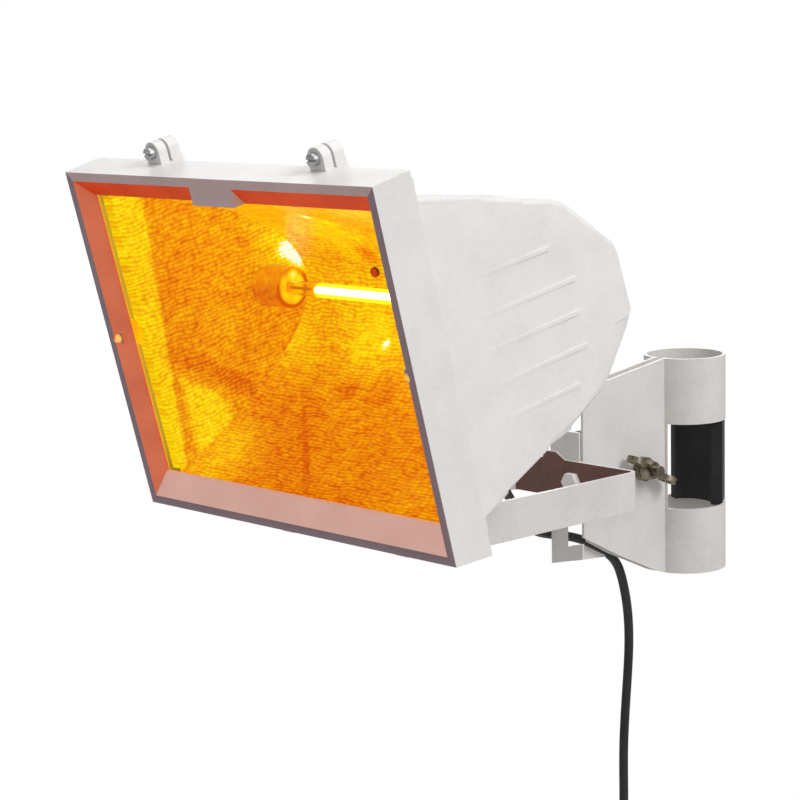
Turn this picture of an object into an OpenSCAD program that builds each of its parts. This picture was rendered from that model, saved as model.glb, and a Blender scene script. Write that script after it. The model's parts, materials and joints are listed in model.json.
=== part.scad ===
// Halogen infrared heater on a yoke, with a sheet steel clamp for a round pole.
// Origin: on the pole's axis at the clamp's mid height. +Z is up and the heater faces -Y.
// Parts of the head are drawn in face coordinates: x across, y rearward, z up the face.

/* [Head casing] */
// Width across the front frame
face_w = 301; // [280:1:340]
// Height of the front frame
face_h = 241; // [230:1:270]
// Depth of the front frame
frame_depth = 30; // [28:0.5:36]
// Depth from the frame's face to the rear wall
head_depth = 215; // [205:1:240]
// Thickness of the casing's wall
wall = 2.8; // [2:0.1:3.4]
// How far each side leans in over the casing's depth
side_draft = 8; // [5:0.5:11]
// Height of the side ribs where they stand out most
rib_rise = 1.6; // [0.8:0.1:3]
// Lean of the face at rest, in degrees
tilt = 14.7; // [5:0.1:25]

/* [Front frame] */
// Width of the flat lip round the frame
lip_w = 6; // [5:0.5:8]
// Depth of the bevel from the lip down to the glass
bevel_depth = 8.5; // [7:0.5:10]
// Width of the bevel at the sides
bevel_side = 8; // [7:0.5:10]
// Width of the bevel at the bottom
bevel_bottom = 16; // [14:0.5:20]
// Width of the bevel at the top
bevel_top = 12; // [11:0.5:14]
// Width of the bare tab in the top bevel
tab_w = 41; // [30:1:60]
// Distance of the two screw ears from the middle
ear_x = 80; // [60:1:100]
// Thickness of the glass
glass_t = 4; // [3:0.5:4.5]

/* [Lamp and reflector] */
// Room at each side from the lamp's end to the frame's outer side
lamp_side_room = 40.5; // [38:0.5:50]
// Diameter of the quartz tube
lamp_d = 10; // [8:0.5:11]
// Distance from the lamp to the rear wall
lamp_to_rear = 95; // [92:1:102]
// Distance from the lamp to the back of the reflector
lamp_to_back = 30; // [26:1:34]
// Diameter of the ceramic holders
holder_d = 29; // [26:1:31]
// Thickness of the reflector sheet
reflector_t = 0.8; // [0.6:0.1:1.2]

/* [Yoke] */
// Width over the yoke's legs
yoke_w = 122; // [112:1:134]
// Height of the yoke's strap
strap_h = 28; // [24:1:30]
// Thickness of the yoke's strap
strap_t = 3; // [2.5:0.5:4]
// Distance from the pole's axis to the tilt pivots
pivot_reach = 350; // [340:1:380]
// Height of the pivots over the clamp's middle
pivot_h = 3; // [0:0.5:4]

/* [Clamp] */
// Diameter of the pole that the clamp holds
pole_d = 40; // [34:1:46]
// Outer diameter of the clamp's hoop
hoop_d = 62; // [60:1:70]
// Height of the hoop
hoop_h = 165; // [155:1:180]
// Height of the open window between the hoop's two bands
window_h = 65; // [56:1:72]
// Thickness of the clamp's sheet
sheet_t = 2; // [1.5:0.1:2.5]
// Gap between the two flat plates
plate_gap = 7.4; // [7.4:0.1:9]
// Distance from the pole's axis to the front of the flange
flange_reach = 124; // [120:1:130]
// Arc of the pad round the pole, in degrees
pad_arc = 124; // [116:1:140]

/* [Cord and plug] */
// Diameter of the cord
cord_d = 7; // [6:0.1:7.2]
// Radius of the coil's innermost turn
coil_inner_r = 31; // [29:0.5:34]
// Distance between neighbouring turns of the coil
coil_pitch = 7.6; // [7.6:0.1:8.4]
// Diameter of the plug's face
plug_d = 37; // [34:0.5:39]

/* [Clearances] */
// Play of a shaft in its hole, on the radius
shaft_play = 0.06; // [0.04:0.01:0.1]
// Gap between parts that turn past each other
turn_gap = 0.2; // [0.15:0.05:0.4]
// Gap between seated parts
seat_gap = 0.04; // [0.02:0.01:0.1]

/* [Hidden] */
$fn = 48;

// Pivot in face coordinates
pivot_n = 43;
pivot_u = -18;
// Depths of the casing's flange behind the frame
flange_front = frame_depth + 1.5;
flange_back = frame_depth + 9;
drawn_back = 39;
// Factors that carry the drawn side profile to the set sizes
depth_k = (head_depth - flange_back) / (215 - drawn_back);
height_k = face_h / 241;
// Half widths of the casing at its flange and at its rear wall
casing_half = face_w / 2 - 9.5;
rear_half = casing_half - side_draft;

// Side profile of the casing behind its flange, from the top front round to the bottom front
casing_profile = [
  [drawn_back, 223.4], [99, 203], [134, 189], [160, 180], [171, 173], [197, 146], [209, 134],
  [212, 126], [215, 85], [210, 78], [186, 54], [177, 47], [140, 34], [113, 31], [68, 19],
  [drawn_back, 10.5]
];
function set_profile(p) = [flange_back + (p[0] - drawn_back) * depth_k, p[1] * height_k];
profile = [for (p = casing_profile) set_profile(p)];
// Half width of the casing at a depth
function half_at(n) = casing_half - side_draft * (n - flange_back) / (head_depth - flange_back);

// Flange of the casing, hidden behind the frame
flange_half = casing_half + 1.5;
flange_low = 6 * height_k;
flange_high = 234 * height_k;

// Front opening of the casing
mouth_half = casing_half - 3.5;
mouth_low = 15.5 * height_k;
mouth_high = 218 * height_k;

// Shallow step in the casing's sides, along their lower rear edge
step_t = 1.8;
step_line = [
  [220, 84], [192, 84], [187, 82], [183, 73], [173.5, 58.7], [163, 50], [148, 43.2],
  [136, 39.7], [112, 36], [102, 30], [102, 15], [220, 15]
];

// Ears for the frame's screws: front of the frame's own ear
ear_n = frame_depth - 8;
// Fall of the frame's underside toward the rear
frame_skirt = 5.5;

// Ribs on the casing's sides: height on the face, front depth, rear depth
side_ribs = [[158, 80, 144], [133, 74, 163], [111, 74, 162], [88, 76, 162], [65, 77, 148]];
rib_w = 2.4;
rib_fall = -4.3;

// Hinge of the front frame
hinge_n = flange_front + 3;
hinge_u = -4;
hinge_r = 4;
hinge_pin_r = 1.5;
hinge_x = 112;

// Glass and its seats
glass_front = bevel_depth + 2.5 + 1;
glass_half = face_w / 2 - lip_w - bevel_side + 3;
glass_low = lip_w + bevel_bottom - 4;
glass_high = face_h - lip_w - bevel_top + 4;
clip_u = (glass_low + glass_high) / 2;
clip_x = face_w / 2 - 7.5;
// Inward rim at the frame's rear, which meets the casing's seal
rim_t = 4;
rim_half = glass_half + 0.5;
rim_low = 10;
rim_high = face_h - 13;

// Lamp, on the middle of the glass opening
lamp_len = face_w - 2 * lamp_side_room;
lamp_u = 120 * height_k;
lamp_n = head_depth - lamp_to_rear;

// Reflector: a trough with a parabola as its section
trough_back = lamp_n + lamp_to_back;
trough_front = frame_depth - 12;
trough_half = 102.5 * height_k;
trough_k = trough_half * trough_half / (trough_back - trough_front);
function trough_point(v, off) =
  let (s = 2 * v / trough_k, m = sqrt(1 + s * s))
  [trough_back - v * v / trough_k + off / m, lamp_u + v + off * s / m];
// Half length of the trough at its mouth, at its back and at a depth
trough_mouth_end = mouth_half - 4.5;
trough_back_end = lamp_len / 2 + 3;
function trough_end(n) =
  trough_mouth_end
  - (trough_mouth_end - trough_back_end) * (n - trough_front) / (trough_back - trough_front);

holder_in = lamp_len / 2 - 17;
holder_out = lamp_len / 2 + 16;
holder_wall_x = holder_out + 1.5;
boss_a = [lamp_n - 16, lamp_u - 24];
boss_b = [lamp_n + 24, lamp_u + 24];
post_x = 36;
post_u = lamp_u + 5;

// Cable gland, square to the casing's sloping underside
gland_p = set_profile([160, 41]);
gland_turn = 180 + atan2(13 * height_k, 37 * depth_k);
boot_len = 28;
boot_end = 22 + boot_len;

// Terminal block on the rear wall
block_n = head_depth - 25;
block_u = lamp_u - 22;

// Yoke
leg_half = yoke_w / 2;
lug_out = leg_half - strap_t - 1 - turn_gap;
lug_t = 5;
leg_end_r = 9;
leg_taper = 40;
bolt_r = 4;
nut_r = 7.5;

// Clamp
hoop_r = hoop_d / 2;
hoop_in = hoop_r - sheet_t;
pole_r = pole_d / 2;
plate_in = plate_gap / 2;
plate_out = plate_in + sheet_t;
flange_rear = flange_reach - sheet_t;
base_bolt_z = 2;
clamp_bolt_y = -58;
clamp_bolt_z = 2.5;

// Cord
cord_r = cord_d / 2;
coil_turns = 2.5;
coil_outer_r = coil_inner_r + coil_turns * coil_pitch;
hang_x = -12;
hang_y = -60;
coil_y = hang_y - coil_outer_r;
coil_z = -336;
tail_x = hang_x + coil_pitch;
tail_end = coil_z - 70;

// Places a child drawn in face coordinates
module on_head() {
  translate([0, -pivot_reach, pivot_h])
    rotate([tilt, 0, 0])
      translate([0, -pivot_n, -pivot_u])
        children();
}

// Gives a point of the face coordinates in the shared frame
function head_point(p) =
  [p[0],
   -pivot_reach + (p[1] - pivot_n) * cos(tilt) - (p[2] - pivot_u) * sin(tilt),
   pivot_h + (p[1] - pivot_n) * sin(tilt) + (p[2] - pivot_u) * cos(tilt)];

// Carries children from the gland's own axis to the head
module on_gland() {
  translate([0, gland_p[0], gland_p[1]])
    rotate([gland_turn, 0, 0])
      children();
}

// Gives a point on the gland's axis in face coordinates
function gland_point(d) =
  [0, gland_p[0] - d * sin(gland_turn), gland_p[1] + d * cos(gland_turn)];

// Extrudes a side drawing along x from one x to another
module side_solid(x0, x1) {
  translate([x0, 0, 0])
    rotate([90, 0, 90])
      linear_extrude(x1 - x0)
        children();
}

// Extrudes a front drawing rearward from one depth to another
module front_solid(n0, n1) {
  translate([0, n1, 0])
    rotate([90, 0, 0])
      linear_extrude(n1 - n0)
        children();
}

// Cylinder along x
module x_rod(x0, x1, r, y = 0, z = 0) {
  translate([x0, y, z])
    rotate([0, 90, 0])
      cylinder(h = x1 - x0, r = r);
}

// Cylinder along y
module y_rod(y0, y1, r, x = 0, z = 0) {
  translate([x, y1, z])
    rotate([90, 0, 0])
      cylinder(h = y1 - y0, r = r);
}

// Child and its mirror image across the middle
module both_sides() {
  children();
  mirror([1, 0, 0])
    children();
}

function unit(v) = v / norm(v);

// Tube swept along a list of points
module tube(path, r, sides, ref) {
  last = len(path) - 1;
  along = [for (i = [0 : last]) unit(path[min(i + 1, last)] - path[max(i - 1, 0)])];
  pts = [
    for (i = [0 : last])
      let (a = unit(cross(ref, along[i])), b = cross(along[i], a))
        for (k = [0 : sides - 1])
          path[i] + r * (cos(360 * k / sides) * a + sin(360 * k / sides) * b)
  ];
  start = [for (k = [0 : sides - 1]) k];
  end = [for (k = [sides - 1 : -1 : 0]) last * sides + k];
  walls = [
    for (i = [0 : last - 1])
      for (k = [0 : sides - 1])
        let (j = (k + 1) % sides, p = i * sides, q = p + sides)
          for (f = [[p + k, q + k, q + j], [p + k, q + j, p + j]]) f
  ];
  polyhedron(points = pts, faces = concat([start], walls, [end]), convexity = 10);
}

// Cuts the edge between the casing's side and one stretch of its profile
module edge_cut(p, q, c) {
  turn = atan2(q[1] - p[1], q[0] - p[0]);
  length = norm(q - p);
  translate([half_at((p[0] + q[0]) / 2) - c, p[0], p[1]])
    rotate([turn, 0, 0])
      rotate([0, 45, 0])
        translate([0, -c, -2 * c])
          cube([3 * c, length + 2 * c, 6 * c]);
}

// Casing's outer form behind the flange
module casing_form() {
  intersection() {
    side_solid(-casing_half, casing_half)
      polygon(profile);
    linear_extrude(face_h)
      polygon([
        [-casing_half, flange_back], [casing_half, flange_back],
        [rear_half, head_depth], [-rear_half, head_depth]
      ]);
  }
}

// Casing's hollow, open to the front
module casing_hollow() {
  k = 1 - wall / 85;
  mid = [120 * depth_k, 112 * height_k];
  intersection() {
    union() {
      side_solid(-casing_half, casing_half)
        translate(mid)
          scale([k, k])
            translate(-mid)
              polygon(profile);
      translate([-mouth_half, flange_front - 1, mouth_low])
        cube([2 * mouth_half, 12, mouth_high - mouth_low]);
    }
    linear_extrude(face_h)
      polygon([
        [-mouth_half, flange_front - 1], [mouth_half, flange_front - 1],
        [mouth_half, flange_back], [rear_half - 3.5, head_depth],
        [-rear_half + 3.5, head_depth], [-mouth_half, flange_back]
      ]);
  }
}

// What the step takes off the casing's right side
module side_step() {
  intersection() {
    side_solid(rear_half - 5, casing_half + 1)
      polygon([for (p = step_line) set_profile(p)]);
    linear_extrude(face_h)
      polygon([
        [casing_half - step_t, flange_back], [casing_half + 1, flange_back],
        [casing_half + 1, head_depth + 1], [rear_half - step_t, head_depth + 1]
      ]);
  }
}

// Fine rib on the right side, standing out more toward the rear
module side_rib(rib) {
  n0 = flange_back + (rib[1] - drawn_back) * depth_k;
  n1 = flange_back + (rib[2] - drawn_back) * depth_k;
  translate([0, n0, rib[0] * height_k])
    rotate([rib_fall, 0, 0])
      translate([0, -n0, -rib_w / 2])
        linear_extrude(rib_w)
          polygon([
            [half_at(n0) - 1, n0], [half_at(n0) + 0.1, n0],
            [half_at(n1) + rib_rise, n1], [half_at(n1) - 1, n1]
          ]);
}

// Ear on the casing's top for one frame screw
module casing_ear() {
  y_rod(ear_n + 9, ear_n + 17, 7, ear_x, face_h + 8);
  translate([ear_x - 7, ear_n + 9, face_h + 0.8])
    cube([14, 8, 7.2]);
  translate([ear_x - 7, flange_front, flange_high - 3])
    cube([14, 7.5, face_h + 8 - flange_high]);
  side_solid(ear_x - 5, ear_x + 5)
    polygon([
      [ear_n + 13, flange_high - 3], [flange_back + 8, flange_high - 15],
      [ear_n + 17, face_h + 13], [ear_n + 13, face_h + 13]
    ]);
}

// Lug under the casing that takes one pivot bolt
module pivot_lug() {
  side_solid(lug_out - lug_t, lug_out) {
    translate([pivot_n, pivot_u])
      circle(r = leg_end_r);
    polygon([
      [pivot_n - 8, pivot_u + 4], [flange_front + 3, 9], [flange_front + 30, 19 * height_k],
      [pivot_n + 8, pivot_u + 4], [pivot_n, pivot_u]
    ]);
  }
}

// Lug of the casing for one frame hinge
module casing_hinge_lug() {
  side_solid(hinge_x + 6 + turn_gap, hinge_x + 12) {
    translate([hinge_n, hinge_u])
      circle(r = hinge_r);
    polygon([
      [hinge_n, hinge_u], [hinge_n, 8], [flange_back, 8], [hinge_n + 3.6, hinge_u - 1.6]
    ]);
  }
}

module housing() {
  color("gainsboro")
    on_head() {
      difference() {
        union() {
          difference() {
            casing_form();
            both_sides() {
              side_step();
              for (i = [0 : 7])
                edge_cut(profile[i + 1], profile[i], 4.4);
              for (i = [8 : 11])
                edge_cut(profile[i + 1], profile[i], 5.2);
              for (i = [12 : 14])
                edge_cut(profile[i + 1], profile[i], 3);
            }
          }
          front_solid(flange_front, flange_back)
            translate([-flange_half, flange_low])
              square([2 * flange_half, flange_high - flange_low]);
          both_sides() {
            for (rib = side_ribs)
              side_rib(rib);
            casing_ear();
            pivot_lug();
            casing_hinge_lug();
          }
        }
        casing_hollow();
        both_sides() {
          y_rod(ear_n + 8, ear_n + 16, 2.5, ear_x, face_h + 8);
          x_rod(lug_out - lug_t - 1, lug_out + 1, bolt_r + shaft_play, pivot_n, pivot_u);
          x_rod(hinge_x, hinge_x + 13, hinge_pin_r + seat_gap, hinge_n, hinge_u);
        }
        on_gland()
          translate([0, 0, -20])
            cylinder(h = 25, r = 8 + seat_gap);
      }
      difference() {
        intersection() {
          casing_form();
          union() {
            both_sides() {
              y_rod(trough_back + reflector_t + seat_gap, head_depth, 5, post_x, post_u);
              for (b = [boss_a, boss_b])
                x_rod(holder_wall_x + seat_gap, casing_half, 5, b[0], b[1]);
            }
            translate([-24, block_n + 16 + seat_gap, block_u - 4])
              cube([48, 20, 28]);
            translate([46, block_n + 14, block_u])
              cube([12, 20, 14]);
          }
        }
        both_sides() {
          y_rod(trough_back - 5, trough_back + 16, 1.5 + seat_gap, post_x, post_u);
          for (b = [boss_a, boss_b])
            x_rod(holder_out, holder_wall_x + 5, 2 + seat_gap, b[0], b[1]);
        }
        y_rod(block_n + 4, block_n + 22, 2 + seat_gap, 52, block_u + 7);
      }
    }
}

module housing_seal() {
  color("dimgray")
    on_head()
      front_solid(frame_depth + 0.1, flange_front)
        difference() {
          translate([-flange_half, flange_low])
            square([2 * flange_half, flange_high - flange_low]);
          translate([-mouth_half - 0.5, flange_low + 7.5])
            square([2 * mouth_half + 1, flange_high - flange_low - 14.5]);
        }
}

// Outline of a funnel that narrows from the lip to the glass opening
module bevel_funnel() {
  out = face_w / 2 - lip_w;
  low = lip_w;
  high = face_h - lip_w;
  d = bevel_depth;
  s = bevel_side / d;
  b = bevel_bottom / d;
  t = bevel_top / d;
  intersection() {
    translate([0, 0, -10])
      linear_extrude(face_h + 20)
        polygon([
          [-out - s, -1], [out + s, -1], [out - bevel_side, d], [-out + bevel_side, d]
        ]);
    side_solid(-face_w, face_w)
      polygon([
        [-1, low - b], [-1, high + t], [d, high - bevel_top], [d, low + bevel_bottom]
      ]);
  }
}

module front_frame() {
  color("gainsboro")
    on_head()
      difference() {
        union() {
          difference() {
            intersection() {
              translate([0, 0, -2 * frame_skirt])
                linear_extrude(face_h + 4 * frame_skirt)
                  polygon([
                    [-face_w / 2, 0], [face_w / 2, 0],
                    [face_w / 2 + 0.8, frame_depth], [-face_w / 2 - 0.8, frame_depth]
                  ]);
              side_solid(-face_w, face_w)
                polygon([
                  [0, 0], [frame_depth, -frame_skirt], [frame_depth, face_h + 0.5], [0, face_h]
                ]);
            }
            bevel_funnel();
            front_solid(bevel_depth - 1, bevel_depth + 4)
              translate([-face_w / 2 + lip_w + bevel_side, lip_w + bevel_bottom])
                square([
                  face_w - 2 * lip_w - 2 * bevel_side, face_h - 2 * lip_w - bevel_top - bevel_bottom
                ]);
            translate([-face_w / 2 + 3, bevel_depth + 2.5, 3])
              cube([face_w - 6, frame_depth - rim_t - bevel_depth - 2.5, face_h - 6]);
            front_solid(frame_depth - rim_t - 1, frame_depth + 1)
              translate([-rim_half, rim_low])
                square([2 * rim_half, rim_high - rim_low]);
          }
          translate([-tab_w / 2, 0, face_h - lip_w - bevel_top])
            cube([tab_w, bevel_depth + 1, bevel_top + 1]);
          both_sides() {
            y_rod(ear_n, ear_n + 7, 7, ear_x, face_h + 8);
            translate([ear_x - 7, ear_n, face_h - 2])
              cube([14, 7, 10]);
            translate([clip_x - 4, 3, clip_u - 4])
              cube([5, bevel_depth - 1, 8]);
            difference() {
              side_solid(hinge_x, hinge_x + 6) {
                translate([hinge_n, hinge_u])
                  circle(r = hinge_r);
                polygon([
                  [frame_depth - 8, 1], [frame_depth, 1], [hinge_n, hinge_u + 3.9],
                  [hinge_n, hinge_u], [hinge_n - 3, hinge_u - 2.6]
                ]);
              }
              x_rod(hinge_x - 1, hinge_x + 7, hinge_pin_r + shaft_play, hinge_n, hinge_u);
            }
          }
        }
        both_sides() {
          y_rod(ear_n - 1, ear_n + 8, 2 + shaft_play, ear_x, face_h + 8);
          y_rod(-1, bevel_depth + 4, 1.5 + seat_gap, clip_x, clip_u);
          y_rod(-1, 3, 3, clip_x, clip_u);
        }
      }
}

module glass_gasket() {
  color("dimgray")
    on_head()
      front_solid(glass_front - 1, glass_front)
        difference() {
          translate([-glass_half, glass_low])
            square([2 * glass_half, glass_high - glass_low]);
          translate([-glass_half + 2.5, glass_low + 3])
            square([2 * glass_half - 5, glass_high - glass_low - 6]);
        }
}

module glass() {
  color("lightblue", 0.3)
    on_head()
      front_solid(glass_front, glass_front + glass_t)
        translate([-glass_half, glass_low])
          square([2 * glass_half, glass_high - glass_low]);
}

module glass_clips() {
  back = glass_front + glass_t;
  color("silver")
    on_head()
      both_sides()
        difference() {
          union() {
            translate([glass_half - 3, back, clip_u - 9])
              cube([face_w / 2 - 3.5 - glass_half + 3, 1.2, 18]);
            translate([face_w / 2 - 4.9, bevel_depth + 2.5, clip_u - 9])
              cube([1.4, back - bevel_depth - 2, 18]);
          }
          y_rod(back - 1, back + 2, 1.5 + seat_gap, clip_x, clip_u);
        }
}

module clip_screws() {
  color("silver")
    on_head()
      both_sides() {
        y_rod(1.2, 3, 2.75, clip_x, clip_u);
        y_rod(2, glass_front + glass_t + 5, 1.5, clip_x, clip_u);
      }
}

module clip_nuts() {
  color("silver")
    on_head()
      both_sides()
        difference() {
          translate([clip_x, glass_front + glass_t + 3.6, clip_u])
            rotate([90, 0, 0])
              cylinder(h = 2.4, r = 3.1, $fn = 6);
          y_rod(glass_front + glass_t, glass_front + glass_t + 5, 1.5 + seat_gap, clip_x, clip_u);
        }
}

module frame_screws() {
  color("silver")
    on_head()
      both_sides()
        difference() {
          union() {
            y_rod(ear_n - 4, ear_n, 4.25, ear_x, face_h + 8);
            y_rod(ear_n - 1, ear_n + 15, 2, ear_x, face_h + 8);
          }
          translate([ear_x - 5, ear_n - 5, face_h + 7.4])
            cube([10, 2.4, 1.2]);
        }
}

module hinge_pins() {
  color("silver")
    on_head()
      both_sides()
        x_rod(hinge_x - 1.5, hinge_x + 13.5, hinge_pin_r, hinge_n, hinge_u);
}

// Section of the trough between two offsets from its parabola
module trough_section(off_in, off_out) {
  steps = 28;
  polygon([
    for (i = [-steps : steps]) trough_point(trough_half * i / steps, off_out),
    for (i = [steps : -1 : -steps]) trough_point(trough_half * i / steps, off_in)
  ]);
}

// Filled section of the trough
module trough_fill(off) {
  steps = 28;
  polygon([for (i = [-steps : steps]) trough_point(trough_half * i / steps, off)]);
}

module reflector() {
  color("gold")
    on_head()
      difference() {
        intersection() {
          side_solid(-casing_half, casing_half)
            trough_section(0, reflector_t);
          linear_extrude(face_h)
            polygon([
              [-trough_mouth_end, trough_front], [trough_mouth_end, trough_front],
              [trough_back_end, trough_back + 2], [-trough_back_end, trough_back + 2]
            ]);
        }
        both_sides()
          y_rod(trough_back - 10, trough_back + 10, 1.5 + seat_gap, post_x, post_u);
      }
}

module reflector_end() {
  difference() {
    intersection() {
      side_solid(0, casing_half)
        trough_fill(-seat_gap);
      linear_extrude(face_h)
        polygon([
          [trough_mouth_end - 1, trough_front], [trough_mouth_end, trough_front],
          [trough_back_end, trough_back], [trough_back_end - 1, trough_back]
        ]);
    }
    x_rod(holder_in, casing_half, holder_d / 2 + 0.2, lamp_n, lamp_u);
  }
}

module reflector_end_left() {
  color("gold")
    on_head()
      mirror([1, 0, 0])
        reflector_end();
}

module reflector_end_right() {
  color("gold")
    on_head()
      reflector_end();
}

module reflector_screws() {
  color("silver")
    on_head()
      both_sides() {
        y_rod(trough_back - 3.5, trough_back - 0.95, 3.5, post_x, post_u);
        y_rod(trough_back - 1, trough_back + 14, 1.5, post_x, post_u);
      }
}

module lamp_tube() {
  color("white", 0.4)
    on_head()
      difference() {
        x_rod(-lamp_len / 2 + 12, lamp_len / 2 - 12, lamp_d / 2, lamp_n, lamp_u);
        x_rod(-lamp_len / 2 + 15, lamp_len / 2 - 15, lamp_d / 2 - 1, lamp_n, lamp_u);
      }
}

module lamp_filament() {
  color("orange")
    on_head()
      x_rod(-lamp_len / 2 + 15, lamp_len / 2 - 15, 2.1, lamp_n, lamp_u);
}

module lamp_cap() {
  x_rod(lamp_len / 2 - 12, lamp_len / 2 - 2, 5.6, lamp_n, lamp_u);
  x_rod(lamp_len / 2 - 3, lamp_len / 2, 2.4, lamp_n, lamp_u);
}

module lamp_cap_left() {
  color("ivory")
    on_head()
      mirror([1, 0, 0])
        lamp_cap();
}

module lamp_cap_right() {
  color("ivory")
    on_head()
      lamp_cap();
}

module holder() {
  difference() {
    x_rod(holder_in, holder_out, holder_d / 2, lamp_n, lamp_u);
    x_rod(holder_in - 1, lamp_len / 2 + 0.5, 6, lamp_n, lamp_u);
    x_rod(lamp_len / 2 - 1, holder_out - 2, 3 + shaft_play, lamp_n, lamp_u);
    for (s = [-1, 1])
      x_rod(holder_out - 6, holder_out + 1, 1.5 + seat_gap, lamp_n, lamp_u + s * 9);
  }
}

module holder_left() {
  color("ivory")
    on_head()
      mirror([1, 0, 0])
        holder();
}

module holder_right() {
  color("ivory")
    on_head()
      holder();
}

module contact_fixed() {
  color("silver")
    on_head()
      x_rod(-holder_out + 2, -lamp_len / 2, 3, lamp_n, lamp_u);
}

module contact_sprung() {
  color("silver")
    on_head()
      x_rod(lamp_len / 2, lamp_len / 2 + 5, 3, lamp_n, lamp_u);
}

module contact_spring() {
  start_x = lamp_len / 2 + 5.5;
  end_x = holder_out - 2.5;
  turns = 4;
  steps = 14;
  path = [
    for (i = [0 : turns * steps])
      let (a = 360 * i / steps)
        [start_x + (end_x - start_x) * i / (turns * steps),
         lamp_n + 2.2 * cos(a), lamp_u + 2.2 * sin(a)]
  ];
  color("silver")
    on_head()
      tube(path, 0.45, 6, [1, 0, 0]);
}

module holder_plate() {
  difference() {
    translate([holder_out, lamp_n - 24, lamp_u - 31])
      cube([holder_wall_x - holder_out, 56, 62]);
    for (b = [boss_a, boss_b])
      x_rod(holder_out - 1, holder_wall_x + 1, 2 + seat_gap, b[0], b[1]);
    for (s = [-1, 1])
      x_rod(holder_out - 1, holder_wall_x + 1, 1.5 + seat_gap, lamp_n, lamp_u + s * 9);
  }
}

module holder_plate_left() {
  color("silver")
    on_head()
      mirror([1, 0, 0])
        holder_plate();
}

module holder_plate_right() {
  color("silver")
    on_head()
      holder_plate();
}

module holder_plate_screws() {
  color("silver")
    on_head()
      both_sides() {
        for (b = [boss_a, boss_b]) {
          x_rod(holder_out - 2.4, holder_out, 3.6, b[0], b[1]);
          x_rod(holder_out - 1, holder_wall_x + 4.5, 2, b[0], b[1]);
        }
        for (s = [-1, 1]) {
          x_rod(holder_wall_x, holder_wall_x + 2, 2.8, lamp_n, lamp_u + s * 9);
          x_rod(holder_out - 5.5, holder_wall_x + 1, 1.5, lamp_n, lamp_u + s * 9);
        }
      }
}

module terminal_block() {
  color("ivory")
    on_head()
      difference() {
        translate([-20, block_n, block_u])
          cube([40, 16, 20]);
        for (x = [-13, 0, 13])
          for (z = [5, 15])
            y_rod(block_n - 1, block_n + 4, 2.6, x, block_u + z);
      }
}

module terminal_screws() {
  color("silver")
    on_head()
      for (x = [-13, 0, 13])
        for (z = [5, 15])
          difference() {
            y_rod(block_n + 1, block_n + 4, 2.5, x, block_u + z);
            translate([x - 3, block_n, block_u + z - 0.3])
              cube([6, 1.8, 0.6]);
          }
}

// Route of the wire from the terminal block to the right lamp holder
wire_route = [
  [13, block_n + 8, block_u + 18], [13, block_n + 8, block_u + 24],
  [16, block_n + 6, block_u + 30], [24, block_n + 3, block_u + 35],
  [34, block_n - 1, block_u + 38], [46, block_n - 6, block_u + 40],
  [60, block_n - 11, block_u + 40], [76, block_n - 17, block_u + 38],
  [lamp_len / 2 - 20, block_n - 23, block_u + 35], [lamp_len / 2 - 8, block_n - 30, block_u + 31],
  [lamp_len / 2 + 1, block_n - 36, block_u + 28], [lamp_len / 2 + 7, lamp_n + 27, lamp_u + 3],
  [lamp_len / 2 + 9, lamp_n + 20, lamp_u + 1], [lamp_len / 2 + 9, lamp_n + 13, lamp_u]
];

module wire_live() {
  color("saddlebrown")
    on_head()
      tube(wire_route, 1.3, 8, [0, 1, 1]);
}

module wire_neutral() {
  color("royalblue")
    on_head()
      tube([for (p = wire_route) [-p[0], p[1], p[2]]], 1.3, 8, [0, 1, 1]);
}

module wire_earth() {
  path = [
    [19, block_n + 6, block_u + 10], [24, block_n + 5, block_u + 10],
    [29, block_n + 3, block_u + 9], [34, block_n + 2, block_u + 8],
    [39, block_n + 3, block_u + 7], [44, block_n + 6, block_u + 7],
    [48, block_n + 11, block_u + 7], [50, block_n + 12.5, block_u + 7]
  ];
  color("yellowgreen")
    on_head()
      tube(path, 1.3, 8, [0, 1, 1]);
}

module earth_screw() {
  color("silver")
    on_head() {
      y_rod(block_n + 11, block_n + 14, 4, 52, block_u + 7);
      y_rod(block_n + 13, block_n + 20, 2, 52, block_u + 7);
    }
}

module gland_body() {
  color("black")
    on_head()
      on_gland()
        difference() {
          union() {
            translate([0, 0, seat_gap])
              cylinder(h = 5, r = 11, $fn = 6);
            translate([0, 0, -12])
              cylinder(h = 20, r = 8);
          }
          translate([0, 0, -13])
            cylinder(h = 25, r = cord_r + seat_gap);
        }
}

module gland_cap() {
  color("black")
    on_head()
      on_gland()
        difference() {
          union() {
            translate([0, 0, 5 + 2 * seat_gap])
              cylinder(h = 9, r = 10.5);
            translate([0, 0, 14])
              cylinder(h = 8, r1 = 10.5, r2 = 6.5);
          }
          translate([0, 0, 4])
            cylinder(h = 4 + seat_gap, r = 8 + seat_gap);
          translate([0, 0, 4])
            cylinder(h = 20, r = cord_r + seat_gap);
        }
}

module gland_nut() {
  color("black")
    on_head()
      on_gland()
        translate([0, 0, -wall - 6])
          difference() {
            cylinder(h = 5, r = 11.5, $fn = 6);
            translate([0, 0, -1])
              cylinder(h = 7, r = 8 + seat_gap);
          }
}

module cord_boot() {
  color("black")
    on_head()
      on_gland()
        difference() {
          translate([0, 0, 22 + seat_gap])
            cylinder(h = boot_len - seat_gap, r1 = 6.2, r2 = cord_r + 0.9);
          translate([0, 0, 21])
            cylinder(h = boot_len + 2, r = cord_r + seat_gap);
        }
}

module cord_inlet() {
  path = [
    gland_point(boot_end), gland_point(36), gland_point(22), gland_point(8), gland_point(-6),
    gland_point(-16),
    [0, block_n - 32, block_u - 33], [0, block_n - 26, block_u - 23],
    [0, block_n - 17, block_u - 15], [0, block_n - 6, block_u - 9],
    [0, block_n + 4, block_u - 5], [0, block_n + 9, block_u + 2]
  ];
  color("black")
    on_head()
      tube(path, cord_r, 12, [1, 0, 0]);
}

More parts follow.
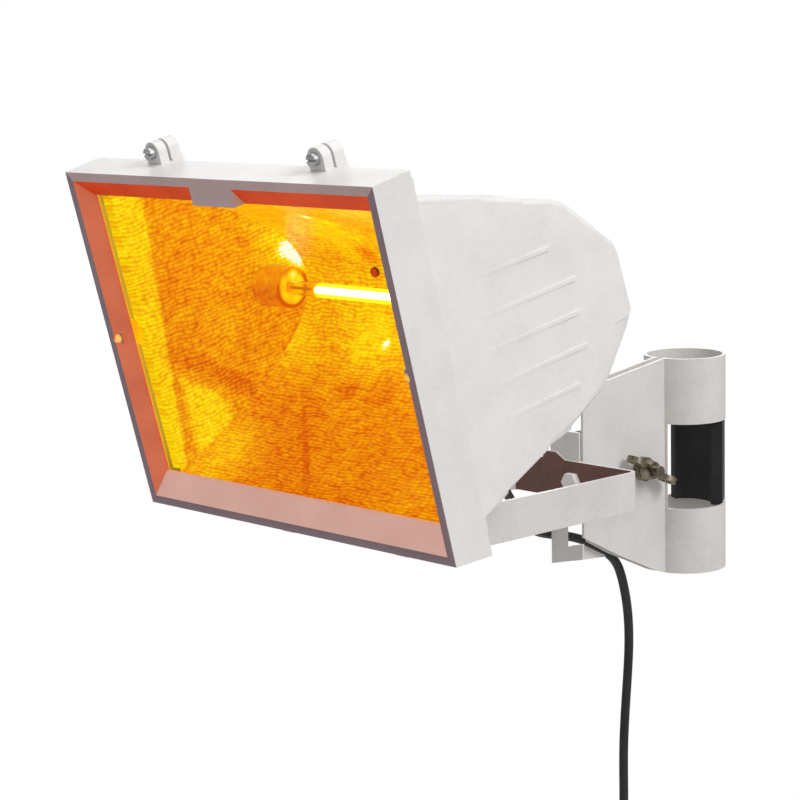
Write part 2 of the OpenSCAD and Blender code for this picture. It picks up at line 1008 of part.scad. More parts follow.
module yoke() {
  base = flange_reach + strap_t;
  bend = 7;
  strap_top = pivot_h + strap_h / 2;
  color("lightgray") {
    front_solid(-base, -flange_reach)
      polygon([
        [-30, strap_top - 1], [-8, strap_top - 1], [-8, strap_top], [-17, strap_top + 5.2],
        [-30, strap_top + 5.2]
      ]);
    difference() {
      translate([0, 0, pivot_h - strap_h / 2])
        linear_extrude(strap_h)
          difference() {
            union() {
              translate([-leg_half, -pivot_reach - strap_h / 2])
                square([2 * leg_half, pivot_reach + strap_h / 2 - flange_reach - bend]);
              translate([-leg_half + bend, -pivot_reach])
                square([2 * leg_half - 2 * bend, pivot_reach - flange_reach]);
              for (x = [-leg_half + bend, leg_half - bend])
                translate([x, -flange_reach - bend])
                  circle(r = bend);
            }
            translate([-leg_half + strap_t, -pivot_reach - strap_h])
              square([2 * leg_half - 2 * strap_t, pivot_reach + strap_h - base - bend + strap_t]);
            translate([-leg_half + bend, -pivot_reach])
              square([2 * leg_half - 2 * bend, pivot_reach - base]);
            for (x = [-leg_half + bend, leg_half - bend])
              translate([x, -flange_reach - bend])
                circle(r = bend - strap_t);
          }
      side_solid(-leg_half - 1, leg_half + 1)
        difference() {
          translate([-pivot_reach - strap_h, pivot_h - strap_h])
            square([strap_h + leg_taper, 2 * strap_h]);
          translate([-pivot_reach, pivot_h]) {
            circle(r = leg_end_r);
            polygon([
              [0, -leg_end_r], [leg_taper, -strap_h / 2], [leg_taper, strap_h / 2], [0, leg_end_r]
            ]);
          }
        }
      x_rod(-leg_half - 1, leg_half + 1, bolt_r + seat_gap, -pivot_reach, pivot_h);
      y_rod(-base - 1, -flange_reach + 1, bolt_r + seat_gap, 0, base_bolt_z);
    }
  }
}

module pivot_bolts() {
  color("silver")
    both_sides() {
      translate([leg_half, -pivot_reach, pivot_h])
        rotate([0, 90, 0])
          cylinder(h = 5.3, r = nut_r, $fn = 6);
      x_rod(lug_out - lug_t - 10, leg_half + 1, bolt_r, -pivot_reach, pivot_h);
    }
}

module pivot_washers() {
  color("silver")
    both_sides()
      difference() {
        x_rod(lug_out + turn_gap, lug_out + turn_gap + 1, 8.5, -pivot_reach, pivot_h);
        x_rod(lug_out, lug_out + 3, bolt_r + seat_gap, -pivot_reach, pivot_h);
      }
}

module pivot_nuts() {
  color("silver")
    both_sides()
      difference() {
        translate([lug_out - lug_t - turn_gap - 6.5, -pivot_reach, pivot_h])
          rotate([0, 90, 0])
            cylinder(h = 6.5, r = nut_r, $fn = 6);
        x_rod(lug_out - lug_t - 10, lug_out, bolt_r + seat_gap, -pivot_reach, pivot_h);
      }
}

module base_bolt() {
  color("white") {
    translate([0, -flange_reach - strap_t, base_bolt_z])
      rotate([90, 0, 0])
        cylinder(h = 5.3, r = nut_r, $fn = 6);
    y_rod(-flange_reach - strap_t - 1, -flange_rear + 11, bolt_r, 0, base_bolt_z);
  }
}

module base_washer() {
  color("silver")
    difference() {
      y_rod(-flange_rear, -flange_rear + 1.6, 8.2, 0, base_bolt_z);
      y_rod(-flange_rear - 1, -flange_rear + 3, bolt_r + seat_gap, 0, base_bolt_z);
    }
}

module base_nut() {
  color("silver")
    difference() {
      translate([0, -flange_rear + 8.1, base_bolt_z])
        rotate([90, 0, 0])
          cylinder(h = 6.5, r = nut_r, $fn = 6);
      y_rod(-flange_rear, -flange_rear + 12, bolt_r + seat_gap, 0, base_bolt_z);
    }
}

// Outline of the near plate in side view
module near_outline() {
  polygon([
    [-hoop_in + 2, hoop_h / 2], [-hoop_r, hoop_h / 2], [-95, hoop_h / 2 - 9],
    [-flange_rear, hoop_h / 2 - 15], [-flange_rear, -40], [-83, -60],
    [-40, -hoop_h / 2 + 3], [-hoop_r, -hoop_h / 2], [-hoop_in + 2, -hoop_h / 2]
  ]);
}

// Outline of the far plate in side view
module far_outline() {
  polygon([
    [-hoop_in + 2, hoop_h / 2], [-hoop_r, hoop_h / 2], [-95, hoop_h / 2 - 9],
    [-106, hoop_h / 2 - 12], [-106, 38], [-flange_rear + 1, 38],
    [-flange_rear + 1, -30], [-108, -30], [-108, -46.5], [-83, -60],
    [-40, -hoop_h / 2 + 3], [-hoop_r, -hoop_h / 2], [-hoop_in + 2, -hoop_h / 2]
  ]);
}

// Outline of the foot that runs back from the flange's lower end
module foot_outline() {
  polygon([[-flange_rear, -47], [-113, -48], [-89, -60], [-88, -61.5], [-flange_rear, -58.7]]);
}

module clamp_bracket() {
  seam = sqrt(hoop_r * hoop_r - plate_out * plate_out);
  color("lightgray")
    difference() {
      union() {
        difference() {
          translate([0, 0, -hoop_h / 2])
            linear_extrude(hoop_h)
              difference() {
                circle(r = hoop_r, $fn = 96);
                circle(r = hoop_in, $fn = 96);
                translate([-plate_in, -hoop_r - 2])
                  square([2 * plate_in, hoop_r]);
              }
          translate([-hoop_r - 1, -seam + 0.5, -window_h / 2])
            cube([2 * hoop_r + 2, seam + hoop_r - 8, window_h]);
        }
        side_solid(plate_in, plate_out)
          near_outline();
        side_solid(-plate_out, -plate_in) {
          far_outline();
          foot_outline();
        }
        front_solid(-flange_reach, -flange_rear)
          polygon([[-25, 38], [plate_out, 38], [plate_out, -56], [-25, -63.3]]);
      }
      front_solid(-flange_reach - 1, -flange_rear)
        polygon([
          [-10, -20], [plate_out + 1, -20], [plate_out + 1, -44.2], [-10, -48.7]
        ]);
      translate([plate_out - 2.5, -flange_reach - 1, pivot_h + strap_h / 2])
        cube([3.5, sheet_t + 1, 40]);
      translate([-plate_out - 1, -flange_rear, base_bolt_z - 9])
        cube([2 * plate_out + 2, 14, 18]);
      y_rod(-flange_reach - 1, -flange_rear + 1, bolt_r + seat_gap, 0, base_bolt_z);
      x_rod(-plate_out - 1, plate_out + 1, bolt_r + seat_gap, clamp_bolt_y, clamp_bolt_z);
    }
}

module clamp_bolt() {
  color("olive")
    difference() {
      union() {
        x_rod(-plate_out - 4.5, -plate_out, 9, clamp_bolt_y, clamp_bolt_z);
        x_rod(-plate_out - 1, plate_out + 20, bolt_r, clamp_bolt_y, clamp_bolt_z);
      }
      x_rod(-plate_out - 5, -plate_out - 2.5, 3.2, clamp_bolt_y, clamp_bolt_z);
    }
}

module clamp_washer() {
  color("olive")
    difference() {
      x_rod(plate_out, plate_out + 1.6, 9, clamp_bolt_y, clamp_bolt_z);
      x_rod(plate_out - 1, plate_out + 3, bolt_r + seat_gap, clamp_bolt_y, clamp_bolt_z);
    }
}

module wing_nut() {
  foot = plate_out + 1.6 + turn_gap;
  color("olive")
    difference() {
      union() {
        x_rod(foot, foot + 4, 9, clamp_bolt_y, clamp_bolt_z);
        translate([foot + 3, clamp_bolt_y, clamp_bolt_z])
          rotate([0, 90, 0])
            cylinder(h = 8.5, r1 = 8.5, r2 = 6.5);
        translate([foot, clamp_bolt_y, clamp_bolt_z])
          rotate([-28, 0, 0])
            for (side = [0, 1])
              mirror([0, side, 0])
                translate([0, 0, -2])
                  linear_extrude(4)
                    difference() {
                      union() {
                        polygon([[1, 6.5], [12, 6.5], [13, 15], [9, 21], [4, 15]]);
                        translate([9, 20])
                          circle(r = 7.2);
                      }
                      translate([9, 20])
                        circle(r = 3.6);
                    }
      }
      x_rod(foot - 1, foot + 20, bolt_r + shaft_play, clamp_bolt_y, clamp_bolt_z);
    }
}

module pole_pad() {
  color("black")
    translate([0, 0, -window_h / 2 - 2])
      rotate([0, 0, 90 - pad_arc / 2])
        rotate_extrude(angle = pad_arc, $fn = 96)
          translate([pole_r, 0])
            square([hoop_in - pole_r - seat_gap, window_h + 4]);
}

module cord_flex() {
  way = unit(head_point(gland_point(boot_end)) - head_point(gland_point(0)));
  start = head_point(gland_point(boot_end));
  path = concat(
    [start, start + 8 * way],
    [
      [-0.5, -212, 33], [-2, -205, 23], [-4.5, -197, 12.5], [-8, -188.5, 2.5],
      [-12, -179, -6.5], [-16.5, -169.5, -15], [-21, -159.5, -23], [-25, -149, -30.5],
      [-28.4, -137.5, -37], [-30.1, -5 - flange_reach, -40.2], [-30.2, -flange_reach, -41.6]
    ]
  );
  color("black")
    tube(path, cord_r, 8, [1, 0, 0]);
}

module cord_run() {
  path = concat(
    [
      [-30.2, -flange_reach, -41.6], [-30.3, 5 - flange_reach, -43], [-29.3, -111, -44.8],
      [-27, -103, -46.8], [-23.5, -94, -50], [-19.3, -86, -54.5], [-15.6, -78.5, -59.8], [-13, -71, -66],
      [hang_x, -65.2, -73.5], [hang_x, -61, -82.5], [hang_x, -58, -92], [hang_x, -55.6, -102],
      [hang_x, -53.7, -114], [hang_x, -52.8, -128], [hang_x, -53.1, -143], [hang_x, -54.5, -160],
      [hang_x, -56.4, -178], [hang_x, -58.2, -196], [hang_x, -59.5, -214],
      [hang_x, hang_y, -232], [hang_x, hang_y, -250], [hang_x, hang_y, -268],
      [hang_x, hang_y, -286], [hang_x, hang_y, -304]
    ],
    [[hang_x, hang_y, coil_z + 16], [hang_x, hang_y, coil_z + cord_d]]
  );
  color("black")
    tube(path, cord_r, 8, [1, 0, 0]);
}

// Point of the coil at a count of turns from its middle
function coil_point(s) =
  let (r = coil_inner_r + coil_pitch * abs(s), a = -360 * (s + coil_turns),
       x = hang_x + coil_pitch * min(1, max(0, 2 * s + 0.5)))
  [x, coil_y + r * cos(a), coil_z + r * sin(a)];

module cord_coil() {
  steps = 24;
  count = 2 * coil_turns * steps;
  path = concat(
    [[hang_x, hang_y, coil_z + cord_d]],
    [for (i = [0 : count]) coil_point(i / steps - coil_turns)],
    [[tail_x, hang_y, coil_z - cord_d]]
  );
  echo(coil_gap = coil_pitch - cord_d);
  color("black")
    tube(path, cord_r, 6, [1, 0, 0]);
}

module coil_tie() {
  low = coil_inner_r + 0.25 * coil_pitch - cord_r - 0.1;
  high = coil_outer_r - 0.25 * coil_pitch + cord_r + 0.1;
  color("dimgray")
    translate([hang_x - cord_r - 0.1, coil_y - 3, coil_z + low])
      difference() {
        translate([-1.2, 0, -1.2])
          cube([coil_pitch + cord_d + 2.6, 6, high - low + 2.4]);
        translate([0, -1, 0])
          cube([coil_pitch + cord_d + 0.2, 8, high - low]);
      }
}

module cord_tail() {
  path = [
    [tail_x, hang_y, coil_z - cord_d], [tail_x, hang_y, coil_z - 22],
    [tail_x, hang_y, coil_z - 38], [tail_x, hang_y, coil_z - 54],
    [tail_x, hang_y, tail_end]
  ];
  color("black")
    tube(path, cord_r, 8, [1, 0, 0]);
}

module plug_body() {
  color("black")
    translate([tail_x, hang_y, tail_end])
      difference() {
        union() {
          translate([0, 0, -30])
            cylinder(h = 30, r1 = 7.5, r2 = cord_r + 0.8);
          translate([0, 0, -58])
            cylinder(h = 28, r1 = 14.5, r2 = 11);
          translate([0, 0, -74])
            cylinder(h = 17, r = plug_d / 2);
        }
        for (s = [-1, 1])
          translate([s * plug_d / 2 - 3, -5, -75])
            cube([6, 10, 14]);
        for (s = [-1, 1])
          translate([0, s * 9.5, -75])
            cylinder(h = 12, r = 2.4 + seat_gap);
      }
}

module plug_pins() {
  color("silver")
    translate([tail_x, hang_y, tail_end])
      for (s = [-1, 1])
        translate([0, s * 9.5, -93]) {
          cylinder(h = 29, r = 2.4);
        }
}

module plug_earth_clips() {
  color("silver")
    translate([tail_x, hang_y, tail_end])
      both_sides()
        translate([plug_d / 2 - 3, -3.5, -74])
          cube([1.2, 7, 12]);
}

housing();
housing_seal();
front_frame();
glass_gasket();
glass();
glass_clips();
clip_screws();
clip_nuts();
frame_screws();
hinge_pins();
reflector();
reflector_end_left();
reflector_end_right();
reflector_screws();
lamp_tube();
lamp_filament();
lamp_cap_left();
lamp_cap_right();
holder_left();
holder_right();
contact_fixed();
contact_sprung();
contact_spring();
holder_plate_left();
holder_plate_right();
holder_plate_screws();
terminal_block();
terminal_screws();
wire_live();
wire_neutral();
wire_earth();
earth_screw();
gland_body();
gland_cap();
gland_nut();
cord_boot();
cord_inlet();
yoke();
pivot_bolts();
pivot_washers();
pivot_nuts();
base_bolt();
base_washer();
base_nut();
clamp_bracket();
clamp_bolt();
clamp_washer();
wing_nut();
pole_pad();
cord_flex();
cord_run();
cord_coil();
coil_tie();
cord_tail();
plug_body();
plug_pins();
plug_earth_clips();
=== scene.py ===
import json
import math

import bpy
from mathutils import Matrix, Vector


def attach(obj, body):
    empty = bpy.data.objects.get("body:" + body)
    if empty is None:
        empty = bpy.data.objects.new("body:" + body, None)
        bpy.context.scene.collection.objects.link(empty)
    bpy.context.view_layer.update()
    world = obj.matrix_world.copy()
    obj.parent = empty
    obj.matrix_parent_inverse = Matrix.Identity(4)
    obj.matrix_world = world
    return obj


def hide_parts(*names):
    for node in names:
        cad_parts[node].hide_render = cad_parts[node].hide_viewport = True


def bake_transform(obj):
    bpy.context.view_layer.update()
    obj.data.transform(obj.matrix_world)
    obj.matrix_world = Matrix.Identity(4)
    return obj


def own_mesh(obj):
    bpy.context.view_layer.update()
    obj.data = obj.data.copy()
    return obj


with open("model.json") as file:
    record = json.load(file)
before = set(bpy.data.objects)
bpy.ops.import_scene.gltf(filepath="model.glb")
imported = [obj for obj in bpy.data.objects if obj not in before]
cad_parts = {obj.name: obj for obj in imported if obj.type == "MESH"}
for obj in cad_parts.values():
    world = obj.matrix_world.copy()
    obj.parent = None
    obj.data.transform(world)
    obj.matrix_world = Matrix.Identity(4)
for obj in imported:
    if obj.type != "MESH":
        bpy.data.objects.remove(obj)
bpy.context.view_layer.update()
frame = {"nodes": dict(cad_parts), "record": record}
scene = bpy.context.scene

# The head leans forward; pieces on it are placed in face millimetres: across, rearward, up
head = {
    "lean": math.radians(14.7),
    "pivotBack": 43,
    "pivotUp": -18,
    "pivotPlace": (-350, 3),
    "lampBack": 120,
    "lampUp": 120,
}


def onHead(x, n, u):
    c, s = math.cos(head["lean"]), math.sin(head["lean"])
    n, u = n - head["pivotBack"], u - head["pivotUp"]
    y, z = head["pivotPlace"]
    return Vector((x, y + n * c - u * s, z + n * s + u * c)) / 1000


def onFace(point):
    c, s = math.cos(head["lean"]), math.sin(head["lean"])
    y = point[1] * 1000 - head["pivotPlace"][0]
    z = point[2] * 1000 - head["pivotPlace"][1]
    return (point[0] * 1000, y * c + z * s + head["pivotBack"], -y * s + z * c + head["pivotUp"])


faceCorner = onHead(0, 0, 0)
lampMiddle = onHead(0, head["lampBack"], head["lampUp"])


def alone(piece):
    bpy.ops.object.select_all(action="DESELECT")
    piece.select_set(True)
    bpy.context.view_layer.objects.active = piece


def editWhole():
    bpy.ops.object.mode_set(mode="EDIT")
    bpy.ops.mesh.select_all(action="SELECT")


def faceOutward():
    editWhole()
    bpy.ops.mesh.normals_make_consistent(inside=False)
    bpy.ops.object.mode_set(mode="OBJECT")


# Nothing is selected afterwards; the caller then selects edges or faces by their place
def readyToSelect(piece, kind):
    alone(piece)
    bpy.ops.object.mode_set(mode="EDIT")
    bpy.ops.mesh.select_mode(type=kind)
    bpy.ops.mesh.select_all(action="DESELECT")
    bpy.ops.object.mode_set(mode="OBJECT")


# Camera, solved from the object's own edges in the photograph
camera = {
    "place": (1.1094, -1.3385, 0.3292),
    "azimuth": 46.85,
    "elevation": 9.145,
    "roll": -1.327,
    "lens": 102.75,
    "sensor": 36,
    "sees": (0.05, 50),
}


def makeCamera(look):
    turn, rise = math.radians(look["azimuth"]), math.radians(look["elevation"])
    back = Vector((math.sin(turn) * math.cos(rise), -math.cos(turn) * math.cos(rise), math.sin(rise)))
    right = Vector((math.cos(turn), math.sin(turn), 0))
    up = back.cross(right)
    facing = Matrix((right, up, back)).transposed()
    data = bpy.data.cameras.new("heaterCamera")
    data.lens = look["lens"]
    data.sensor_width = look["sensor"]
    data.clip_start, data.clip_end = look["sees"]
    made = bpy.data.objects.new("heaterCamera", data)
    made.matrix_world = (
        Matrix.Translation(look["place"])
        @ (facing @ Matrix.Rotation(math.radians(look["roll"]), 3, "Z")).to_4x4()
    )
    scene.collection.objects.link(made)
    scene.camera = made


makeCamera(camera)
print("camera in place")

# Mains cord: free from the gland's boot, through the bracket, down to its coil and plug
cord = {
    "diameter": 0.007,
    "fromBoot": [(0, -0.2238, 0.04834), (0, -0.21932, 0.04171)],
    "toClamp": [
        (-0.0005, -0.212, 0.033), (-0.002, -0.205, 0.023), (-0.0045, -0.197, 0.0125),
        (-0.008, -0.1885, 0.0025), (-0.012, -0.179, -0.0065), (-0.0165, -0.1695, -0.015),
        (-0.021, -0.1595, -0.023), (-0.025, -0.149, -0.0305), (-0.0284, -0.1375, -0.037),
        (-0.0301, -0.129, -0.0402),
    ],
    "toCoil": [
        (-0.0302, -0.124, -0.0416), (-0.0303, -0.119, -0.043), (-0.0293, -0.111, -0.0448),
        (-0.027, -0.103, -0.0468),
        (-0.0235, -0.094, -0.050), (-0.0193, -0.086, -0.0545), (-0.0156, -0.0785, -0.0598),
        (-0.013, -0.071, -0.066), (-0.012, -0.0652, -0.0735), (-0.012, -0.061, -0.0825),
        (-0.012, -0.058, -0.092), (-0.012, -0.0556, -0.102), (-0.012, -0.0537, -0.114),
        (-0.012, -0.0528, -0.128), (-0.012, -0.0531, -0.143), (-0.012, -0.0545, -0.160),
        (-0.012, -0.0564, -0.178), (-0.012, -0.0582, -0.196), (-0.012, -0.0595, -0.214),
        (-0.012, -0.060, -0.232), (-0.012, -0.060, -0.250), (-0.012, -0.060, -0.268),
        (-0.012, -0.060, -0.286), (-0.012, -0.060, -0.304), (-0.012, -0.060, -0.320),
        (-0.012, -0.060, -0.329),
    ],
    "hang": (-0.012, -0.060),
    "coilCentre": (-0.110, -0.336),
    "coilInner": 0.031,
    "coilPitch": 0.0076,
    "coilTurns": 2.5,
    "stepsPerTurn": 24,
    "tailHeights": (-0.343, -0.358, -0.374, -0.390, -0.406),
}


# Wound from outside in and out again, the second layer beside the first
def coilPoints(spec):
    y, z = spec["coilCentre"]
    steps, turns = spec["stepsPerTurn"], spec["coilTurns"]
    points = []
    for i in range(int(2 * turns * steps) + 1):
        s = i / steps - turns
        r = spec["coilInner"] + spec["coilPitch"] * abs(s)
        a = math.radians(-360 * (s + turns))
        x = spec["hang"][0] + spec["coilPitch"] * min(1, max(0, 2 * s + 0.5))
        points.append((x, y + r * math.cos(a), z + r * math.sin(a)))
    return points


def smoothTube(name, points, radius, sides=16):
    curve = bpy.data.curves.new(name, "CURVE")
    curve.dimensions = "3D"
    spline = curve.splines.new("POLY")
    spline.points.add(len(points) - 1)
    for place, point in zip(spline.points, points):
        place.co = (*point, 1)
    curve.bevel_depth = radius
    curve.bevel_resolution = sides // 4 - 1
    curve.use_fill_caps = True
    made = bpy.data.objects.new(name, curve)
    scene.collection.objects.link(made)
    alone(made)
    bpy.ops.object.convert(target="MESH")
    bpy.ops.object.shade_smooth()
    return made


# One smooth curve through all the points of the route
def smoothPath(points, cuts=4):
    ends = [Vector(points[0]) * 2 - Vector(points[1])]
    ends += [Vector(p) for p in points]
    ends.append(Vector(points[-1]) * 2 - Vector(points[-2]))
    out = []
    for a, b, c, d in zip(ends, ends[1:], ends[2:], ends[3:]):
        for k in range(cuts):
            t = k / cuts
            out.append(0.5 * (2 * b + (c - a) * t + (2 * a - 5 * b + 4 * c - d) * t * t
                              + (3 * b - a - 3 * c + d) * t ** 3))
    out.append(ends[-2])
    return out


coil = coilPoints(cord)
tailX = cord["hang"][0] + cord["coilPitch"]
tail = [(tailX, cord["hang"][1], z) for z in cord["tailHeights"]]
route = cord["fromBoot"] + cord["toClamp"] + cord["toCoil"] + coil + tail
length = sum((Vector(b) - Vector(a)).length for a, b in zip(route, route[1:]))
print("cord length", length)
path = smoothPath(route)
mainsCord = smoothTube("mainsCord", path, cord["diameter"] / 2)
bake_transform(mainsCord)
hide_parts("cord_flex", "cord_run", "cord_coil", "cord_tail")


# A colour's sRGB hex value as the linear one that the shader works with
def linear(hexColour):
    parts = [int(hexColour[i:i + 2], 16) / 255 for i in (1, 3, 5)]
    return tuple(c / 12.92 if c <= 0.04045 else ((c + 0.055) / 1.055) ** 2.4 for c in parts) + (1,)


# Adds one node: its inputs are linked or set, and a ramp gets its stops
def addNode(material, kind, links=None, stops=None, **settings):
    node = material.node_tree.nodes.new("ShaderNode" + kind)
    for name, value in settings.items():
        setattr(node, name, value)
    for name, value in (links or {}).items():
        if isinstance(value, bpy.types.NodeSocket):
            material.node_tree.links.new(value, node.inputs[name])
        else:
            node.inputs[name].default_value = value
    if stops:
        ramp = node.color_ramp
        ramp.elements[0].position, ramp.elements[-1].position = stops[0][0], stops[-1][0]
        ramp.elements[0].color, ramp.elements[-1].color = linear(stops[0][1]), linear(stops[-1][1])
        for place, colour in stops[1:-1]:
            ramp.elements.new(place).color = linear(colour)
    return node


def newMaterial(name, constants):
    material = bpy.data.materials.new(name)
    material.use_nodes = True
    feed(material, constants)
    return material


def feed(material, sockets):
    shader = material.node_tree.nodes["Principled BSDF"]
    for name, value in sockets.items():
        if isinstance(value, bpy.types.NodeSocket):
            material.node_tree.links.new(value, shader.inputs[name])
        else:
            shader.inputs[name].default_value = value


# The place on the piece in millimetres, from an origin and leaning with the head where asked
def millimetres(material, origin=(0, 0, 0), turn=0.0):
    place = addNode(material, "TexCoord").outputs["Object"]
    return addNode(material, "Mapping", {"Vector": place, "Location": origin, "Rotation": (turn, 0, 0),
                                         "Scale": (0.001, 0.001, 0.001)},
                   vector_type="TEXTURE").outputs["Vector"]


def calculate(material, operation, a, b=0.0, c=0.0, clamp=False):
    return addNode(material, "Math", {0: a, 1: b, 2: c}, operation=operation, use_clamp=clamp).outputs[0]


# Polyester powder coat, sprayed and baked: satin, a fine orange peel, faint clouds, dust in places
def powderCoat(name, light, dark, roughness=0.44, peel=0.9):
    material = newMaterial(name, {"Coat Weight": 0.08, "Coat Roughness": 0.35, "IOR": 1.5})
    point = millimetres(material)
    cloud = addNode(material, "TexNoise", {"Vector": point, "Scale": 0.022, "Detail": 5, "Roughness": 0.62})
    dust = addNode(material, "TexNoise", {"Vector": point, "Scale": 0.35, "Detail": 4, "Roughness": 0.7})
    both = calculate(material, "MULTIPLY_ADD", dust.outputs["Fac"], 0.35,
                     calculate(material, "MULTIPLY", cloud.outputs["Fac"], 0.65))
    tone = addNode(material, "ValToRGB", {"Fac": both}, stops=[(0.34, dark), (0.56, light), (0.8, light)])
    skin = addNode(material, "TexNoise", {"Vector": point, "Scale": peel, "Detail": 2, "Roughness": 0.5})
    bump = addNode(material, "Bump", {"Height": skin.outputs["Fac"], "Strength": 0.35, "Distance": 0.00006})
    rough = calculate(material, "MULTIPLY_ADD", dust.outputs["Fac"], 0.16, roughness - 0.08)
    feed(material, {"Base Color": tone.outputs["Color"], "Roughness": rough, "Normal": bump.outputs["Normal"]})
    return material


# The same coat with the lamp's light painted on: a tinted base and a warm glow stand in for its light, from
# within the glass's edge outward
def litCoat(name, base, glow, strength):
    material = powderCoat(name, base, base, 0.4)
    point = millimetres(material)
    drift = addNode(material, "TexNoise", {"Vector": point, "Scale": 0.03, "Detail": 3})
    tone = addNode(material, "ValToRGB", {"Fac": drift.outputs["Fac"]}, stops=[(0.3, glow[0]), (0.7, glow[1])])
    feed(material, {"Emission Color": tone.outputs["Color"], "Emission Strength": strength, "Coat Weight": 0.0,
                    "Specular IOR Level": 0.2})
    return material


# Plain moulded or extruded material with a fine grain
def grained(name, light, dark, constants, grain, depth, share=0.0):
    material = newMaterial(name, constants)
    point = millimetres(material)
    speck = addNode(material, "TexNoise", {"Vector": point, "Scale": grain, "Detail": 3, "Roughness": 0.6})
    drift = addNode(material, "TexNoise", {"Vector": point, "Scale": 0.05, "Detail": 4})
    both = calculate(material, "MULTIPLY_ADD", speck.outputs["Fac"], 0.4,
                     calculate(material, "MULTIPLY", drift.outputs["Fac"], 0.6))
    tone = addNode(material, "ValToRGB", {"Fac": both}, stops=[(0.36, dark), (0.64, light)])
    bump = addNode(material, "Bump", {"Height": speck.outputs["Fac"], "Strength": 0.4, "Distance": depth})
    rough = calculate(material, "MULTIPLY_ADD", drift.outputs["Fac"], 0.2, constants["Roughness"] - 0.1)
    feed(material, {"Base Color": tone.outputs["Color"], "Normal": bump.outputs["Normal"], "Roughness": rough})
    if share:
        feed(material, {"Emission Color": tone.outputs["Color"], "Emission Strength": share})
    return material


# Electroplated steel: bright zinc with fine draw lines and dull blooms
def plated(name, light, dark, roughness, turn=0.0):
    material = newMaterial(name, {"Metallic": 1.0})
    point = millimetres(material, turn=turn)
    long = addNode(material, "Mapping", {"Vector": point, "Scale": (0.25, 2.2, 2.2)}).outputs["Vector"]
    lines = addNode(material, "TexNoise", {"Vector": long, "Scale": 1.1, "Detail": 4, "Roughness": 0.6})
    bloom = addNode(material, "TexNoise", {"Vector": point, "Scale": 0.16, "Detail": 5, "Roughness": 0.65})
    tone = addNode(material, "ValToRGB", {"Fac": bloom.outputs["Fac"]}, stops=[(0.35, dark), (0.62, light)])
    bump = addNode(material, "Bump", {"Height": lines.outputs["Fac"], "Strength": 0.3, "Distance": 0.00005})
    rough = calculate(material, "MULTIPLY_ADD", bloom.outputs["Fac"], 0.3, roughness - 0.15)
    feed(material, {"Base Color": tone.outputs["Color"], "Roughness": rough, "Normal": bump.outputs["Normal"]})
    return material


# Hammered bright aluminium sheet with the lamp's light painted on: a warm metal tint and a glow from yellow to
# deep orange, with painted pools, glints and shade
hammer = {
    "endDash": 3.6,  # mm, one dimple along its row
    "troughDash": 5.4,
    "row": 2.9,  # mm from row to row, coarse enough to show
    "dent": 0.0004,
    "stops": [(0.0, "#c44a00"), (0.14, "#d87002"), (0.28, "#e28a03"), (0.42, "#eaa604"), (0.56, "#efc405"),
              (0.7, "#f3d808"), (0.84, "#f6e418"), (0.94, "#fff480"), (1.0, "#fffde0")],
    "stopsReach": 1.4,
    "endLight": 0.42,
    "endPatches": [  # painted light, or painted shade where negative: place on the face (mm), reach (mm), how much brighter
        ((-116, 134, 150), 34, 0.36), ((-117, 124, 176), 30, 0.22), ((-122, 80, 106), 24, 0.14),
        ((-124, 72, 150), 30, -0.05), ((-120, 100, 118), 26, -0.08)],
    # painted highlights: place, reach, how much brighter
    "endGlints": [((-114.5, 140, 140), 14, 1.0), ((-114, 147, 130), 12, 1.1), ((-115, 137, 121), 9, 0.6)],
    # painted light in a strip beside the glass, and painted shade and light across a fold
    "strip": {"lean": 0.09, "from": 23.5, "to": 19.5, "gain": 0.42},
    "fold": {"across": (0, 0.676, 0.737), "at": 90.7, "middle": (-127, 54, 60), "reach": 62},
    "troughLight": 0.4,
    # painted light and shade on the trough; one dark spot stands in for a screw's reflection
    "troughPatches": [
        ((-52, 129, 160), 46, 0.3), ((-34, 131, 82), 34, 0.42), ((-62, 141, 100), 34, 0.2),
        ((-112, 124, 74), 30, 0.16), ((-33, 100, 57), 17, -0.24), ((-1, 103, 59), 22, -0.22),
        ((-36, 146, 140), 15, -0.42), ((-110, 24, 17), 60, 0.3), ((-108, 56, 33), 44, 0.28),
        ((88, 39, 26), 64, 0.12)],
    # painted highlights, then a painted shade line low across the trough
    "troughGlints": [((-46, 107, 178), 8, 0.9), ((-36, 116, 170), 12, 0.4), ((-19.4, 130.4, 80), 6, 1.0)],
    "lowShadeLine": {"slope": 0.98, "at": 17.2, "half": 5.0},
    "brightest": 0.86,
}


def smoothRange(material, value, start, end, low, high):
    return addNode(material, "MapRange", {"Value": value, "From Min": start, "From Max": end, "To Min": low,
                                          "To Max": high}, interpolation_type="SMOOTHSTEP").outputs[0]


# Painted light round each point, and painted shade where the gain is negative
def brighten(material, light, point, patches):
    for place, reach, gain in patches:
        away = addNode(material, "VectorMath", {0: point, 1: place}, operation="DISTANCE").outputs["Value"]
        light = calculate(material, "ADD", light, smoothRange(material, away, reach, 0, 0, gain))
    return light


